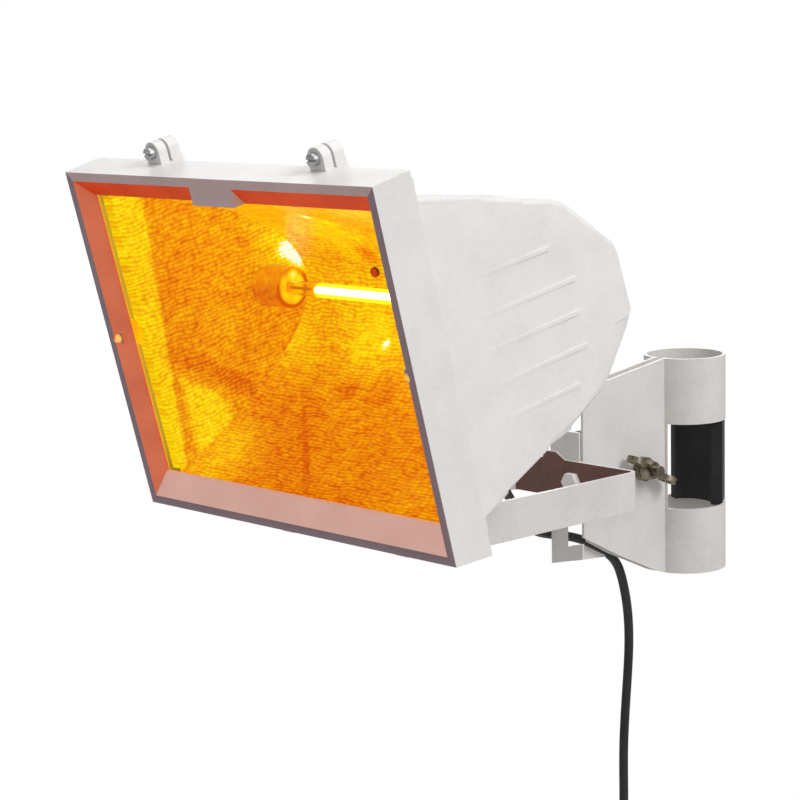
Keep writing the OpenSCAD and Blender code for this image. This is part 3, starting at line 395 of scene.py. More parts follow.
def hammeredSheet(name, word):
    material = newMaterial(name, {"Metallic": 1.0, "Roughness": 0.36, "Emission Strength": 1.0,
                                  "Base Color": linear("#6e3c00")})
    point = millimetres(material, faceCorner, head["lean"])
    xyz = addNode(material, "SeparateXYZ", {"Vector": point}).outputs
    broad = addNode(material, "TexNoise", {"Vector": point, "Scale": 0.02, "Detail": 2})
    broad = calculate(material, "MULTIPLY_ADD", broad.outputs["Fac"], 0.4, hammer[word + "Light"] - 0.2)
    light = brighten(material, broad, point, hammer[word + "Patches"])
    if word == "end":
        along, up = xyz["Y"], xyz["Z"]
        # painted shade over a fold line across the lower front, and painted light on the sheet under it; the
        # fold is drawn in colour only
        fold = hammer["fold"]
        off = addNode(material, "VectorMath", {0: point, 1: fold["across"]}, operation="DOT_PRODUCT")
        off = calculate(material, "SUBTRACT", off.outputs["Value"], fold["at"])
        over = calculate(material, "ABSOLUTE", calculate(material, "SUBTRACT", off, 8))
        under = calculate(material, "MULTIPLY", smoothRange(material, off, -2, -9, 0, 0.44),
                          smoothRange(material, xyz["Y"], 31, 38, 0, 1))
        under = calculate(material, "MULTIPLY", under, smoothRange(material, xyz["Y"], 76, 54, 0, 1))
        shade = calculate(material, "ADD", smoothRange(material, over, 9, 2, 0, -0.26), under)
        away = addNode(material, "VectorMath", {0: point, 1: fold["middle"]}, operation="DISTANCE")
        near = smoothRange(material, away.outputs["Value"], fold["reach"], fold["reach"] / 2, 0, 1)
        light = calculate(material, "MULTIPLY_ADD", shade, near, light)
        # painted light: a bright strip beside the glass
        strip = hammer["strip"]
        lean = calculate(material, "MULTIPLY_ADD", xyz["Z"], -strip["lean"], xyz["Y"])
        light = calculate(material, "ADD", light, smoothRange(material, lean, strip["from"], strip["to"], 0,
                                                              strip["gain"]))
    else:
        # rows keep their distance along the trough's curve; painted shade darkens the lower half and painted
        # light brightens the upper, and a painted shade line runs low across it
        v = calculate(material, "SUBTRACT", xyz["Z"], head["lampUp"])
        curl = calculate(material, "MULTIPLY_ADD", calculate(material, "MULTIPLY", v, v), 0.00021, 1)
        along, up = xyz["X"], calculate(material, "MULTIPLY", v, calculate(material, "SQRT", curl))
        light = calculate(material, "ADD", light, smoothRange(material, xyz["Z"], 40, 74, -0.16, 0.16))
        line = hammer["lowShadeLine"]
        off = calculate(material, "MULTIPLY_ADD", xyz["Y"], line["slope"],
                        calculate(material, "SUBTRACT", xyz["X"], line["at"]))
        low = smoothRange(material, xyz["Z"], 62, 40, 0, -0.2)
        light = calculate(material, "MULTIPLY_ADD", low, smoothRange(
            material, calculate(material, "ABSOLUTE", off), line["half"], 1, 0, 1), light)
    light = calculate(material, "MINIMUM", light, hammer["brightest"])
    # the hammered dimples' highlights and shade, painted into the glow in rows of dashes, then painted glints
    # over them
    wander = addNode(material, "TexNoise", {"Vector": point, "Scale": 0.045, "Detail": 3})
    rows = calculate(material, "DIVIDE", calculate(material, "MULTIPLY_ADD", wander.outputs["Fac"], 9, up),
                     hammer["row"])
    dashes = addNode(material, "CombineXYZ", {
        "X": calculate(material, "DIVIDE", along, hammer[word + "Dash"]), "Y": rows})
    cells = addNode(material, "TexVoronoi", {"Vector": dashes.outputs["Vector"], "Scale": 1, "Randomness": 0.7},
                    voronoi_dimensions="2D")
    groups = addNode(material, "TexNoise", {"Vector": dashes.outputs["Vector"], "Scale": 0.42, "Detail": 3,
                                            "Roughness": 0.6})
    ripple = calculate(material, "SINE", calculate(material, "MULTIPLY", rows, math.tau))
    pattern = calculate(material, "MULTIPLY_ADD", cells.outputs["Distance"], -0.55, 0.23)
    pattern = calculate(material, "MULTIPLY_ADD", ripple, 0.1, pattern)
    pattern = calculate(material, "ADD", pattern, calculate(material, "MULTIPLY_ADD", groups.outputs["Fac"],
                                                            0.9, -0.45))
    light = brighten(material, calculate(material, "ADD", light, pattern), point, hammer[word + "Glints"])
    light = calculate(material, "DIVIDE", light, hammer["stopsReach"])
    tone = addNode(material, "ValToRGB", {"Fac": light}, stops=hammer["stops"])
    bump = addNode(material, "Bump", {"Height": cells.outputs["Distance"], "Strength": 0.7,
                                      "Distance": hammer["dent"]})
    feed(material, {"Emission Color": tone.outputs["Color"], "Normal": bump.outputs["Normal"]})
    return material


# Powder coats: white on the head, a greyer one on the clamp, ones with the lamp's light painted on inside the
# frame's opening, and ones with painted shade
whiteCoat = powderCoat("whitePowderCoat", "#eeecea", "#e4e2e0")
bracketCoat = powderCoat("clampPowderCoat", "#dfdcd9", "#d2cfcc", 0.4, 1.1)
topBevelCoat = litCoat("powderCoatLitRed", "#5a1404", ("#c43204", "#d64208"), 0.76)
sideBevelCoat = litCoat("powderCoatLitSalmon", "#b06a52", ("#bc5638", "#d06a4a"), 0.72)
lowBevelCoat = litCoat("powderCoatLitPink", "#d8b4a8", ("#c49084", "#d2a294"), 0.55)
# painted shade: the frame's front lip mauve grey, lighter and pinker on the top lip and tab
lipShadeCoat = powderCoat("powderCoatLipPaintedShade", "#a28b93", "#947e87")
topLipShadeCoat = powderCoat("powderCoatTopLipPaintedShade", "#ddc2c0", "#d0b5b3")
shadeCoat = powderCoat("brownPaintedShadeCoat", "#724b40", "#5c3c33")  # painted shade on the front of the yoke's cross piece, dark brown
troughSheet = hammeredSheet("hammeredAluminiumTrough", "trough")
endSheet = hammeredSheet("hammeredAluminiumEnd", "end")

# Tempered soda lime glass: clear; so bright a lamp drowns its reflections, so its IOR is set low
clearGlass = newMaterial("temperedGlass", {"Base Color": linear("#fbfdfc"), "Roughness": 0.02, "IOR": 1.08,
                                           "Transmission Weight": 1.0})
wipe = addNode(clearGlass, "TexNoise", {"Vector": millimetres(clearGlass), "Scale": 0.05, "Detail": 4})
feed(clearGlass, {"Roughness": calculate(clearGlass, "MULTIPLY_ADD", wipe.outputs["Fac"], 0.05, 0.0)})


# Lit middle of the lamp along its length, cooler toward both ends
def alongLamp(material, edge, stops):
    point = millimetres(material, faceCorner, head["lean"])
    across = calculate(material, "ABSOLUTE", addNode(material, "SeparateXYZ", {"Vector": point}).outputs["X"])
    flicker = addNode(material, "TexNoise", {"Vector": point, "Scale": 0.12, "Detail": 2})
    spread = calculate(material, "MULTIPLY_ADD", flicker.outputs["Fac"], 3, across)
    fade = smoothRange(material, spread, edge - 3, edge + 7, 0, 1)
    return addNode(material, "ValToRGB", {"Fac": fade}, stops=stops).outputs["Color"]


# Fused quartz, drawn tube: clear, with a yellow haze round the hot wire
quartz = newMaterial("fusedQuartz", {"Base Color": linear("#fff6e0"), "Roughness": 0.04, "IOR": 1.46,
                                     "Transmission Weight": 1.0, "Specular IOR Level": 0.3,
                                     "Emission Strength": 0.5})
feed(quartz, {"Emission Color": alongLamp(quartz, 66, [(0, "#ffc61e"), (0.6, "#7a3000"), (1, "#000000")])})
# Drawn tungsten, white hot where it is wound wide
tungsten = newMaterial("drawnTungsten", {"Base Color": linear("#55504a"), "Metallic": 1.0, "Roughness": 0.5,
                                         "Emission Strength": 9.0})
feed(tungsten, {"Emission Color": alongLamp(tungsten, 68, [(0, "#fff2b8"), (0.4, "#8a4400"), (1, "#482000")])})


# Steatite, pressed and fired, with the lamp's light painted on as a glow: a painted shade line round its rim,
# strongest at the bottom, its mouth brighter with painted light, and painted highlights
def firedHolder(name):
    material = newMaterial(name, {"Base Color": linear("#8a4c08"), "Roughness": 0.62, "IOR": 1.55,
                                  "Specular IOR Level": 0.2, "Emission Strength": 0.95})
    point = millimetres(material, lampMiddle, head["lean"])
    xyz = addNode(material, "SeparateXYZ", {"Vector": point}).outputs
    flat = addNode(material, "CombineXYZ", {"Y": xyz["Y"], "Z": xyz["Z"]})
    radius = addNode(material, "VectorMath", {0: flat.outputs["Vector"]}, operation="LENGTH").outputs["Value"]
    speck = addNode(material, "TexNoise", {"Vector": point, "Scale": 0.22, "Detail": 3})
    line = calculate(material, "ABSOLUTE", calculate(material, "SUBTRACT", radius, 13.2))  # mm from the axis
    line = smoothRange(material, line, 1.7, 0.7, 0, -0.75)
    line = calculate(material, "MULTIPLY", line, smoothRange(material, xyz["Z"], 9, 1, 0.1, 1))
    mouth = smoothRange(material, radius, 13, 9, 0.42, 0.85)
    light = calculate(material, "ADD", calculate(material, "ADD", line, mouth), calculate(
        material, "MULTIPLY_ADD", speck.outputs["Fac"], 0.9, -0.45))
    # painted highlights
    light = brighten(material, light, point, [((-95, 3, 9), 7, 0.6), ((-95, 7, 3), 5, 0.4)])
    tone = addNode(material, "ValToRGB", {"Fac": calculate(material, "DIVIDE", light, hammer["stopsReach"])},
                   stops=hammer["stops"])
    bump = addNode(material, "Bump", {"Height": speck.outputs["Fac"], "Strength": 0.4, "Distance": 0.00008})
    feed(material, {"Emission Color": tone.outputs["Color"], "Normal": bump.outputs["Normal"]})
    return material


holderCeramic = firedHolder("firedSteatiteHolder")
# Steatite, pressed and fired: matt and slightly speckled; near the lamp its yellow is painted lamp light with a
# glow, and away from it cream
fired = {"Roughness": 0.62, "IOR": 1.55}
steatite = grained("firedSteatite", "#f0b010", "#cc7804", fired, 0.9, 0.00008, 0.7)
coolSteatite = grained("firedSteatiteCool", "#e9e2d2", "#d8cfba", fired, 0.9, 0.00008)
# Steel plated in a zinc bath: bluish silver with dull blooms; the lit copy's amber is painted lamp light
brightZinc = plated("brightZincPlate", "#cfd0d2", "#a2a5aa", 0.36)
litZinc = plated("brightZincPlateLit", "#a04410", "#6e2404", 0.36)
# painted lamp light on zinc: a yellow painted glint with a glow on the clip screws, and yellow with a glow on
# the clips behind the glass
glintZinc = grained("brightZincGlint", "#ffd870", "#d88a20", {"Metallic": 1.0, "Roughness": 0.3},
                    0.8, 0.00003, 0.7)
clipZinc = grained("zincClipLit", "#f0c010", "#dc9a06", {"Metallic": 1.0, "Roughness": 0.4},
                   0.8, 0.00003, 0.8)
# Zinc passivated in chromate: olive with brown blooms
oliveZinc = plated("yellowPassivatedZinc", "#a39a86", "#5d574a", 0.36)
# Silicone, extruded: soft sheen; yellow with a glow right behind the glass, as painted lamp light, and grey
# elsewhere
litSeal = grained("siliconeSealLit", "#f4c010", "#e0a008", {"Roughness": 0.7, "Specular IOR Level": 0.2},
                  1.2, 0.00006, 0.85)
siliconeSeal = grained("siliconeSeal", "#6a6a6a", "#555555", {"Roughness": 0.7}, 1.2, 0.00006)
# Rubber and polyamide, extruded or moulded: near black, fine grain, the polyamide a little glossier
rubber = grained("rubberSheath", "#232324", "#151516", {"Roughness": 0.5, "IOR": 1.52}, 1.4, 0.00005)
padRubber = grained("neoprenePad", "#2a2a2b", "#19191a", {"Roughness": 0.72, "IOR": 1.5}, 0.8, 0.00012)
polyamide = grained("mouldedPolyamide", "#262627", "#191919", {"Roughness": 0.46, "IOR": 1.53}, 1.8, 0.00005)
sleeves = {  # silicone sleeves in the colours of live, neutral and earth
    "wire_live": grained("siliconeSleeveBrown", "#7a4a30", "#623822", {"Roughness": 0.55}, 1.5, 0.00003),
    "wire_neutral": grained("siliconeSleeveBlue", "#3f6fb4", "#2f5a9c", {"Roughness": 0.55}, 1.5, 0.00003),
    "wire_earth": grained("siliconeSleeveGreenYellow", "#a6bf38", "#8aa828", {"Roughness": 0.55}, 1.5, 0.00003),
}
print("materials made")

bodyOf = {node: body for body, nodes in frame["record"]["behaviour"]["bodies"].items() for node in nodes}


# A piece gets its finish and rides where its node does
def place(piece, material, node):
    piece.data.materials.clear()
    piece.data.materials.append(material)
    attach(piece, bodyOf[node])
    return piece


# The node's own solid as one clean mesh, with its flat faces whole again
def copyNode(node, name, ring=False):
    alone(frame["nodes"][node])
    made = frame["nodes"][node].copy()
    made.data = made.data.copy()
    made.name = made.data.name = name
    for key in list(made.keys()):
        del made[key]
    made.parent = None
    scene.collection.objects.link(made)
    alone(made)
    bpy.ops.mesh.customdata_custom_splitnormals_clear()
    editWhole()
    bpy.ops.mesh.remove_doubles(threshold=0.000002)
    if ring:  # a face round a hole can't be one piece
        bpy.ops.mesh.tris_convert_to_quads(face_threshold=0.002, shape_threshold=math.pi)
    else:
        bpy.ops.mesh.dissolve_limited(angle_limit=math.radians(0.1))
    bpy.ops.object.mode_set(mode="OBJECT")
    return made


# Edges sharper than the angle are rounded by so many mm, and the rest is shaded smooth
def soften(piece, edge, sharp):
    alone(piece)
    if edge:
        soft = piece.modifiers.new("edges", "BEVEL")
        soft.width, soft.segments = edge / 1000, 2
        soft.limit_method, soft.angle_limit = "ANGLE", math.radians(sharp)
        soft.use_clamp_overlap = True
        soft.miter_outer = "MITER_ARC"
        bpy.ops.object.modifier_apply(modifier="edges")
        editWhole()  # slivers where two bevels met are merged away
        bpy.ops.mesh.remove_doubles(threshold=0.00001)
        bpy.ops.mesh.dissolve_degenerate(threshold=0.00001)
        bpy.ops.object.mode_set(mode="OBJECT")
    bpy.ops.object.shade_smooth_by_angle(angle=math.radians(sharp))
    even = piece.modifiers.new("evenShading", "WEIGHTED_NORMAL")
    even.keep_sharp = True
    bpy.ops.object.modifier_apply(modifier="evenShading")


def dress(node, name, material, edge, ring=False, sharp=32):
    piece = copyNode(node, name, ring)
    soften(piece, edge, sharp)
    place(piece, material, node)
    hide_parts(node)
    return piece


# Rigid nodes finished from their own solids: piece, finish, edge radius in mm, whether it is a ring
finishes = {
    "housing_seal": ("housingSeal", siliconeSeal, 0.3, True),
    "front_frame": ("castFrontFrame", whiteCoat, 0.7, True),
    "glass_gasket": ("glassGasket", litSeal, 0.2, True),
    "glass_clips": ("glassClips", clipZinc, 0.2),
    "clip_screws": ("clipScrews", glintZinc, 0.25),
    "clip_nuts": ("clipNuts", brightZinc, 0.25),
    "frame_screws": ("earScrews", brightZinc, 0.3),
    "hinge_pins": ("hingePins", brightZinc, 0.2),
    "reflector_screws": ("reflectorScrews", litZinc, 0.3),
    "lamp_tube": ("quartzTube", quartz, 0.4),
    "lamp_cap_left": ("lampCapLeft", steatite, 0.5),
    "lamp_cap_right": ("lampCapRight", steatite, 0.5),
    "holder_left": ("lampHolderLeft", holderCeramic, 0.8),
    "holder_right": ("lampHolderRight", holderCeramic, 0.8),
    "contact_fixed": ("contactFixed", brightZinc, 0.3),
    "contact_sprung": ("contactSprung", brightZinc, 0.3),
    "contact_spring": ("contactSpring", brightZinc, 0),
    "holder_plate_left": ("holderPlateLeft", brightZinc, 0.2),
    "holder_plate_right": ("holderPlateRight", brightZinc, 0.2),
    "holder_plate_screws": ("holderPlateScrews", brightZinc, 0.25),
    "terminal_block": ("terminalBlock", coolSteatite, 0.6),
    "terminal_screws": ("terminalScrews", brightZinc, 0.2),
    "earth_screw": ("earthScrew", brightZinc, 0.2),
    "wire_live": ("wireLive", sleeves["wire_live"], 0),
    "wire_neutral": ("wireNeutral", sleeves["wire_neutral"], 0),
    "wire_earth": ("wireEarth", sleeves["wire_earth"], 0),
    "cord_inlet": ("cordInlet", rubber, 0),
    "gland_body": ("glandBody", polyamide, 0.5),
    "gland_nut": ("glandNut", polyamide, 0.5),
    "yoke": ("bentYoke", bracketCoat, 0.5),
    "pivot_bolts": ("pivotBolts", brightZinc, 0.4),
    "pivot_washers": ("pivotWashers", brightZinc, 0.2),
    "pivot_nuts": ("pivotNuts", brightZinc, 0.4),
    "base_bolt": ("baseBolt", whiteCoat, 0.5),
    "base_washer": ("baseWasher", brightZinc, 0.2),
    "base_nut": ("baseNut", brightZinc, 0.4),
    "clamp_bracket": ("rolledClamp", bracketCoat, 0.4),
    "clamp_bolt": ("clampBolt", oliveZinc, 0.4),
    "clamp_washer": ("clampWasher", oliveZinc, 0.3),
    "wing_nut": ("castWingNut", oliveZinc, 1.0),
    "pole_pad": ("polePad", padRubber, 0.6),
    "coil_tie": ("coilTie", polyamide, 0.3),
    "plug_body": ("plugBody", rubber, 0.8),
    "plug_pins": ("plugPins", brightZinc, 0.8),
    "plug_earth_clips": ("plugEarthClips", brightZinc, 0.2),
}
made = {node: dress(node, *spec) for node, spec in finishes.items()}
mainsCord.data.materials.append(rubber)
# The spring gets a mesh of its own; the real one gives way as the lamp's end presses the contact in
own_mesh(made["contact_spring"])
place(frame["nodes"]["glass"], clearGlass, "glass")
print("nodes finished")

# Housing: the profile's corners are rounded, and its cast edges shaded soft
rounding = {
    "corners": [((160, 180), 5), ((171, 173), 5), ((209, 134), 4), ((212, 126), 4)],  # rearward, up; width
    "segments": 4,
    "within": 0.6,  # mm from the corner's line
    "longEdge": 5,
    "softUnder": 48,  # degrees
}
housing = copyNode("housing", "castHousing", True)
for (back, up), width in rounding["corners"]:
    readyToSelect(housing, "EDGE")
    for edge in housing.data.edges:
        ends = [onFace(housing.data.vertices[i].co) for i in edge.vertices]
        edge.select = abs(ends[0][0] - ends[1][0]) > rounding["longEdge"] and all(
            math.hypot(end[1] - back, end[2] - up) < rounding["within"] for end in ends)
    print("housing corner", (back, up), sum(edge.select for edge in housing.data.edges))
    bpy.ops.object.mode_set(mode="EDIT")
    bpy.ops.mesh.bevel(offset=width / 1000, segments=rounding["segments"], affect="EDGES", clamp_overlap=True)
    bpy.ops.object.mode_set(mode="OBJECT")
soften(housing, 0, rounding["softUnder"])
place(housing, whiteCoat, "housing")
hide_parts("housing")

# Painted light and shade on the frame: the faces round the glass take coats with the lamp's light painted on,
# each by its own angle, and the front-facing lips take painted shade
rim = {
    "front": 0.6, "back": 13, "half": 146, "low": 4, "high": 238,
    "topLip": 234.5, "tabLow": 215, "tabHalf": 30, "innerTop": 200,
    "facing": 0.7, "sloping": 0.3,
}
frontFrame = made["front_frame"]
for coat in (topBevelCoat, sideBevelCoat, lowBevelCoat, lipShadeCoat, topLipShadeCoat):
    frontFrame.data.materials.append(coat)
topBevel, sideBevel, lowBevel, lip, topLip = range(1, 6)  # places of these coats on the frame
for face in frontFrame.data.polygons:
    x, n, u = onFace(face.center)
    tip = onFace(Vector(face.center) + face.normal / 1000)
    nx, nn, nu = tip[0] - x, tip[1] - n, tip[2] - u
    facesFront = nn < -rim["facing"]
    if n < rim["front"] and facesFront:
        onTab = u > rim["tabLow"] and abs(x) < rim["tabHalf"]
        face.material_index = topLip if u > rim["topLip"] or onTab else lip
    elif n < rim["back"] and abs(x) < rim["half"] and rim["low"] < u < rim["high"]:
        if nu < -rim["sloping"]:
            face.material_index = topBevel
        elif nu > rim["sloping"]:
            face.material_index = lowBevel
        elif abs(nx) > rim["sloping"] and x * nx < 0:
            face.material_index = sideBevel
        elif facesFront:
            face.material_index = topLip if u > rim["innerTop"] else lip

# Painted shade: the yoke's cross piece is coloured dark brown on its front, for the head's shadow on it
crossPiece = {"behind": -0.2, "facing": 0.6}
yoke = made["yoke"]
yoke.data.materials.append(shadeCoat)
for face in yoke.data.polygons:
    if face.normal.y < -crossPiece["facing"] and face.center.y > crossPiece["behind"]:
        face.material_index = 1

# Reflector: fine grids on the drawn curve, dimpled, then given their sheet thickness
reflector = {
    "half": 102.5, "back": 150, "front": 18, "mouthEnd": 132.6, "backEnd": 112.6,  # the drawn curve
    "trough": (170, 190), "end": (70, 130), "flange": (4, 110),  # faces across and along each sheet
    "overEnds": 0.2, "behindEnds": 0.3,
    "dimple": 0.0005, "sheet": 0.0007,
    "flangeIn": 132.4, "flangeOut": 139.3, "flangeDepth": 17.5, "flangeReach": 99,
    "hole": 14.8,  # round the lamp's holders
    "holeReach": 4,
}
spread = reflector["half"] ** 2 / (reflector["back"] - reflector["front"])
dimples = bpy.data.textures.new("dimples", "VORONOI")
dimples.noise_scale, dimples.noise_intensity = 0.0042, 1.1  # 4.2 mm from dimple to dimple


# How far out an end plate stands at a depth behind the glass
def endAt(n):
    fall = (n - reflector["front"]) / (reflector["back"] - reflector["front"])
    return reflector["mouthEnd"] - (reflector["mouthEnd"] - reflector["backEnd"]) * fall


# Faces inside the hole go, and the points left on its edge move onto the circle
def cutRound(sheet, middle, radius):
    def fromMiddle(point):
        return math.hypot(point.y - middle.y, point.z - middle.z) * 1000

    readyToSelect(sheet, "FACE")
    for face in sheet.data.polygons:
        face.select = fromMiddle(face.center) < radius
    bpy.ops.object.mode_set(mode="EDIT")
    bpy.ops.mesh.delete(type="FACE")
    bpy.ops.object.mode_set(mode="OBJECT")
    uses = {}
    for face in sheet.data.polygons:
        for key in face.edge_keys:
            uses[key] = uses.get(key, 0) + 1
    rimPoints = {i for key, count in uses.items() if count == 1 for i in key}
    for i in rimPoints:
        point = sheet.data.vertices[i].co
        if fromMiddle(point) < radius + reflector["holeReach"]:
            stretch = radius / fromMiddle(point)
            point.y = middle.y + (point.y - middle.y) * stretch
            point.z = middle.z + (point.z - middle.z) * stretch


def hammeredGrid(name, faces, shape, material, node, hole=0):
    bpy.ops.mesh.primitive_grid_add(x_subdivisions=faces[0], y_subdivisions=faces[1], size=2)
    sheet = bpy.context.object
    sheet.name = sheet.data.name = name
    for vertex in sheet.data.vertices:
        vertex.co = shape(vertex.co.x, vertex.co.y)
    alone(sheet)
    editWhole()
    bpy.ops.mesh.remove_doubles(threshold=0.00001)
    bpy.ops.object.mode_set(mode="OBJECT")
    if hole:
        cutRound(sheet, lampMiddle, hole)
    hammering = sheet.modifiers.new("hammering", "DISPLACE")
    hammering.texture, hammering.texture_coords = dimples, "LOCAL"
    hammering.strength, hammering.mid_level = reflector["dimple"], 0.5
    bpy.ops.object.modifier_apply(modifier="hammering")
    thick = sheet.modifiers.new("thick", "SOLIDIFY")
    thick.thickness, thick.offset = reflector["sheet"], 0
    bpy.ops.object.modifier_apply(modifier="thick")
    faceOutward()
    bpy.ops.object.shade_smooth()
    place(sheet, material, node)
    return sheet


def troughShape(a, b):
    v = reflector["half"] * b
    n = reflector["back"] - v * v / spread
    return onHead(a * (endAt(n) + reflector["overEnds"]), n + reflector["behindEnds"], head["lampUp"] + v)


def endShape(side):
    def shape(a, b):
        r = (b + 1) / 2
        n = reflector["back"] - (reflector["back"] - reflector["front"]) * r * r
        return onHead(side * endAt(n), n, head["lampUp"] + reflector["half"] * r * a)
    return shape


def flangeShape(side):
    def shape(a, b):
        x = (reflector["flangeIn"] + reflector["flangeOut"] + a * (
            reflector["flangeOut"] - reflector["flangeIn"])) / 2
        return onHead(side * x, reflector["flangeDepth"], head["lampUp"] + reflector["flangeReach"] * b)
    return shape


trough = hammeredGrid("hammeredTrough", reflector["trough"], troughShape, troughSheet, "reflector")
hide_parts("reflector")
for side, word, node in ((-1, "Left", "reflector_end_left"), (1, "Right", "reflector_end_right")):
    plate = hammeredGrid("hammeredEnd" + word, reflector["end"], endShape(side), endSheet, node,
                         reflector["hole"])
    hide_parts(node)
    hammeredGrid("mouthFlange" + word, reflector["flange"], flangeShape(side), endSheet, node)


# Wire or thread wound along X: a small ring of the section carried round by Screw
onX = Matrix.Rotation(math.pi / 2, 4, "Y")


def wound(name, section, sides, radius, pitch, start, end, steps, move):
    bpy.ops.mesh.primitive_circle_add(vertices=sides, radius=section / 1000,
                                      location=(radius / 1000, 0, 0), rotation=(math.pi / 2, 0, 0))
    coilPiece = bpy.context.object
    coilPiece.name = coilPiece.data.name = name
    alone(coilPiece)
    bpy.ops.object.transform_apply(location=True, rotation=True, scale=True)
    winding = coilPiece.modifiers.new("winding", "SCREW")
    winding.axis, winding.angle = "Z", math.tau
    winding.screw_offset = pitch / 1000
    winding.iterations = int((end - start) / pitch)
    winding.steps = winding.render_steps = steps
    bpy.ops.object.modifier_apply(modifier="winding")
    coilPiece.data.transform(Matrix.Translation(move) @ onX @ Matrix.Translation((0, 0, start / 1000)))
    faceOutward()
    bpy.ops.object.shade_smooth()
    return coilPiece


# Filament: wound wide where it glows, and in tight legs out to the caps
filament = {
    "wire": 0.3, "radius": 2.1, "pitch": 1.1, "steps": 14, "half": 68,
    "legWire": 0.24, "legRadius": 0.8, "legPitch": 0.8, "legSteps": 10, "end": 95,
    "sides": 6,
}
parts = [wound("woundFilament", filament["wire"], filament["sides"], filament["radius"], filament["pitch"],
               -filament["half"], filament["half"], filament["steps"], lampMiddle)]
for start in (-filament["end"], filament["half"]):
    parts.append(wound("filamentLeg", filament["legWire"], filament["sides"], filament["legRadius"],
                       filament["legPitch"], start, start + filament["end"] - filament["half"],
                       filament["legSteps"], lampMiddle))
alone(parts[0])
for part in parts:
    part.select_set(True)
bpy.ops.object.join()
filamentPiece = bpy.context.object
place(filamentPiece, tungsten, "lamp_filament")
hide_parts("lamp_filament")

# Threads stand out on the bolts where nuts leave them bare
thread = {"radius": 3.85, "section": 0.42, "sides": 3, "pitch": 1.25, "steps": 24}
tips = {  # node, start and end along the bolt in mm, the bolt's middle, finish
    "clampThread": ("clamp_bolt", 19.3, 25.4, (0, -0.058, 0.0025), oliveZinc),
    "pivotThreadRight": ("pivot_bolts", 42.2, 45.0, (0, -0.35, 0.003), brightZinc),
    "pivotThreadLeft": ("pivot_bolts", -45.0, -42.2, (0, -0.35, 0.003), brightZinc),
}
for name, (node, start, end, middle, material) in tips.items():
    bareThread = wound(name, thread["section"], thread["sides"], thread["radius"], thread["pitch"], start, end,
                       thread["steps"], middle)
    place(bareThread, material, node)


# A section drawn edge by edge from one point, then spun round the axis it stands on
def turned(name, outline, steps, start, axis):
    bpy.ops.mesh.primitive_plane_add(size=0.001)
    spun = bpy.context.object
    spun.name = spun.data.name = name
    bpy.ops.object.mode_set(mode="EDIT")
    bpy.ops.mesh.select_mode(type="VERT")  # a lone point can't be selected as an edge or a face
    bpy.ops.mesh.select_all(action="SELECT")
    bpy.ops.mesh.merge(type="CENTER")
    bpy.ops.transform.translate(value=(outline[0][0] / 1000, 0, outline[0][1] / 1000))
    for (r0, z0), (r1, z1) in zip(outline, outline[1:]):
        bpy.ops.mesh.extrude_region_move(
            TRANSFORM_OT_translate={"value": ((r1 - r0) / 1000, 0, (z1 - z0) / 1000)})
    bpy.ops.mesh.select_all(action="SELECT")
    bpy.ops.mesh.spin(steps=steps, angle=math.tau, center=(0, 0, 0), axis=(0, 0, 1))
    bpy.ops.mesh.select_all(action="SELECT")
    bpy.ops.mesh.remove_doubles(threshold=0.00001)
    faceOutward()
    spun.data.transform(Matrix.Translation(start) @ Vector(axis).to_track_quat("Z", "Y").to_matrix().to_4x4())
    return spun


# Gland's cap with grips round it, and the ribbed boot that lets the cord bend gently
gland = {
    "start": (0, -0.2518, 0.08979),
    "axis": (0, 0.56, -0.829),
    "cap": [(8.1, 5.1), (10.3, 5.1), (10.3, 14), (9.6, 14.9), (6.6, 22),  # radius, height in mm
            (3.8, 22), (3.8, 13), (8.1, 13), (8.1, 5.1)],
    "steps": 36, "grip": 0.6, "gripFrom": 0.0055, "gripTo": 0.0138, "gripOut": 0.0098,
    "roundEdge": 0.15,
}
cap = turned("glandCap", gland["cap"], gland["steps"], gland["start"], gland["axis"])
readyToSelect(cap, "FACE")
glandAxis = Vector(gland["axis"]).normalized()
for face in cap.data.polygons:
    out = Vector(face.center) - Vector(gland["start"])
    rise = out.dot(glandAxis)
    out -= rise * glandAxis
    turn = math.atan2(out.x, out.cross(glandAxis).x) / math.tau
    onBand = gland["gripFrom"] < rise < gland["gripTo"] and out.length > gland["gripOut"]
    face.select = onBand and round(turn * gland["steps"]) % 3 > 0  # two of three stand out
bpy.ops.object.mode_set(mode="EDIT")
bpy.ops.mesh.extrude_region_shrink_fatten(TRANSFORM_OT_shrink_fatten={"value": gland["grip"] / 1000})
bpy.ops.object.mode_set(mode="OBJECT")
soften(cap, gland["roundEdge"], 32)
place(cap, polyamide, "gland_cap")
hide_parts("gland_cap")

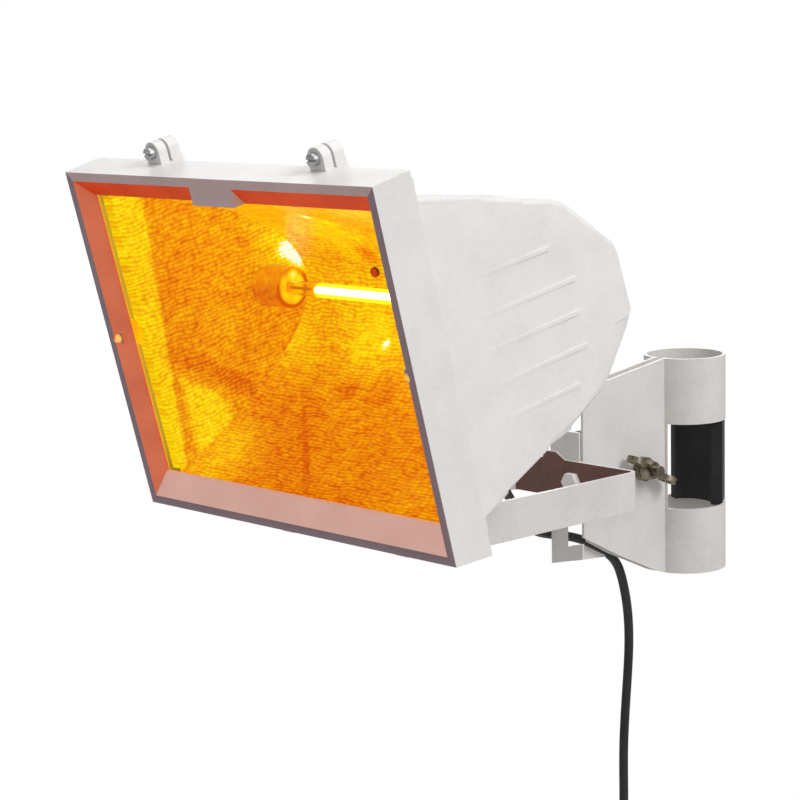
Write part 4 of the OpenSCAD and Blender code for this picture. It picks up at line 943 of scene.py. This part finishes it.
boot = {
    "start": (0, -0.23948, 0.07155), "base": 0.1, "length": 28, "wide": 6.2, "narrow": 4.4, "bore": 3.54,
    "ribs": 7, "groove": 0.8, "first": 0.6, "steps": 32, "roundEdge": 0.12,
}
pitch = boot["length"] / (boot["ribs"] + 0.6)
taper = (boot["wide"] - boot["narrow"]) / boot["length"]
outline = [(boot["bore"], boot["base"]), (boot["wide"], boot["base"])]
for k in range(boot["ribs"]):
    for share, depth in ((0.55, 0), (0.68, boot["groove"]), (0.87, boot["groove"]), (1.0, 0)):
        z = pitch * (k + share) + boot["first"]
        outline.append((boot["wide"] - taper * z - depth, z))
outline += [(boot["narrow"], boot["length"]), (boot["bore"], boot["length"]), (boot["bore"], boot["base"])]
bootPiece = turned("cordBoot", outline, boot["steps"], boot["start"], gland["axis"])
soften(bootPiece, boot["roundEdge"], 32)
place(bootPiece, rubber, "cord_boot")
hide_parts("cord_boot")
print("lamp, reflector and small pieces made")

# Floor, well under the hanging plug, and soft studio light
stage = {
    "floorSize": 3.4, "floorDrop": -1.2,
    "lamps": [  # name, place, aimed at, size, watts
        ("keyRight", (2.5, 0.1, 1.9), (0.1, -0.2, 0.05), 1.2, 50),
        ("top", (0.0, -0.1, 2.4), (0, -0.2, 0), 1.8, 18),
        ("backLeft", (-1.9, 1.5, 0.7), (0, -0.1, 0), 1.6, 22),
    ],
    "ambient": 0.4,
    "sky": (1, 0.99, 0.985, 1),
    "backdrop": (1, 1, 1, 1),
}
bpy.ops.mesh.primitive_plane_add(size=stage["floorSize"], location=(0, 0, stage["floorDrop"]))
floor = bpy.context.object
floor.name = "floor"
floor.data.materials.append(grained("paintedFloor", "#f2f1ef", "#eeedeb", {"Roughness": 0.8}, 0.05, 0.0001))
for name, spot, target, size, power in stage["lamps"]:
    data = bpy.data.lights.new(name, "AREA")
    data.energy, data.size = power, size
    lamp = bpy.data.objects.new(name, data)
    lamp.matrix_world = Matrix.Translation(spot) @ (
        Vector(target) - Vector(spot)).to_track_quat("-Z", "Y").to_matrix().to_4x4()
    scene.collection.objects.link(lamp)
# The camera sees a white backdrop, and the object gets the softer sky
world = bpy.data.worlds.new("studio")
scene.world = world
world.use_nodes = True
sky = world.node_tree.nodes
seen = sky.new("ShaderNodeBackground")
seen.inputs["Color"].default_value = stage["backdrop"]
sky["Background"].inputs["Color"].default_value = stage["sky"]
sky["Background"].inputs["Strength"].default_value = stage["ambient"]
rays, mix = sky.new("ShaderNodeLightPath"), sky.new("ShaderNodeMixShader")
world.node_tree.links.new(rays.outputs["Is Camera Ray"], mix.inputs[0])
world.node_tree.links.new(sky["Background"].outputs[0], mix.inputs[1])
world.node_tree.links.new(seen.outputs[0], mix.inputs[2])
world.node_tree.links.new(mix.outputs[0], sky["World Output"].inputs[0])
scene.view_settings.view_transform = "Standard"
print("stage set")
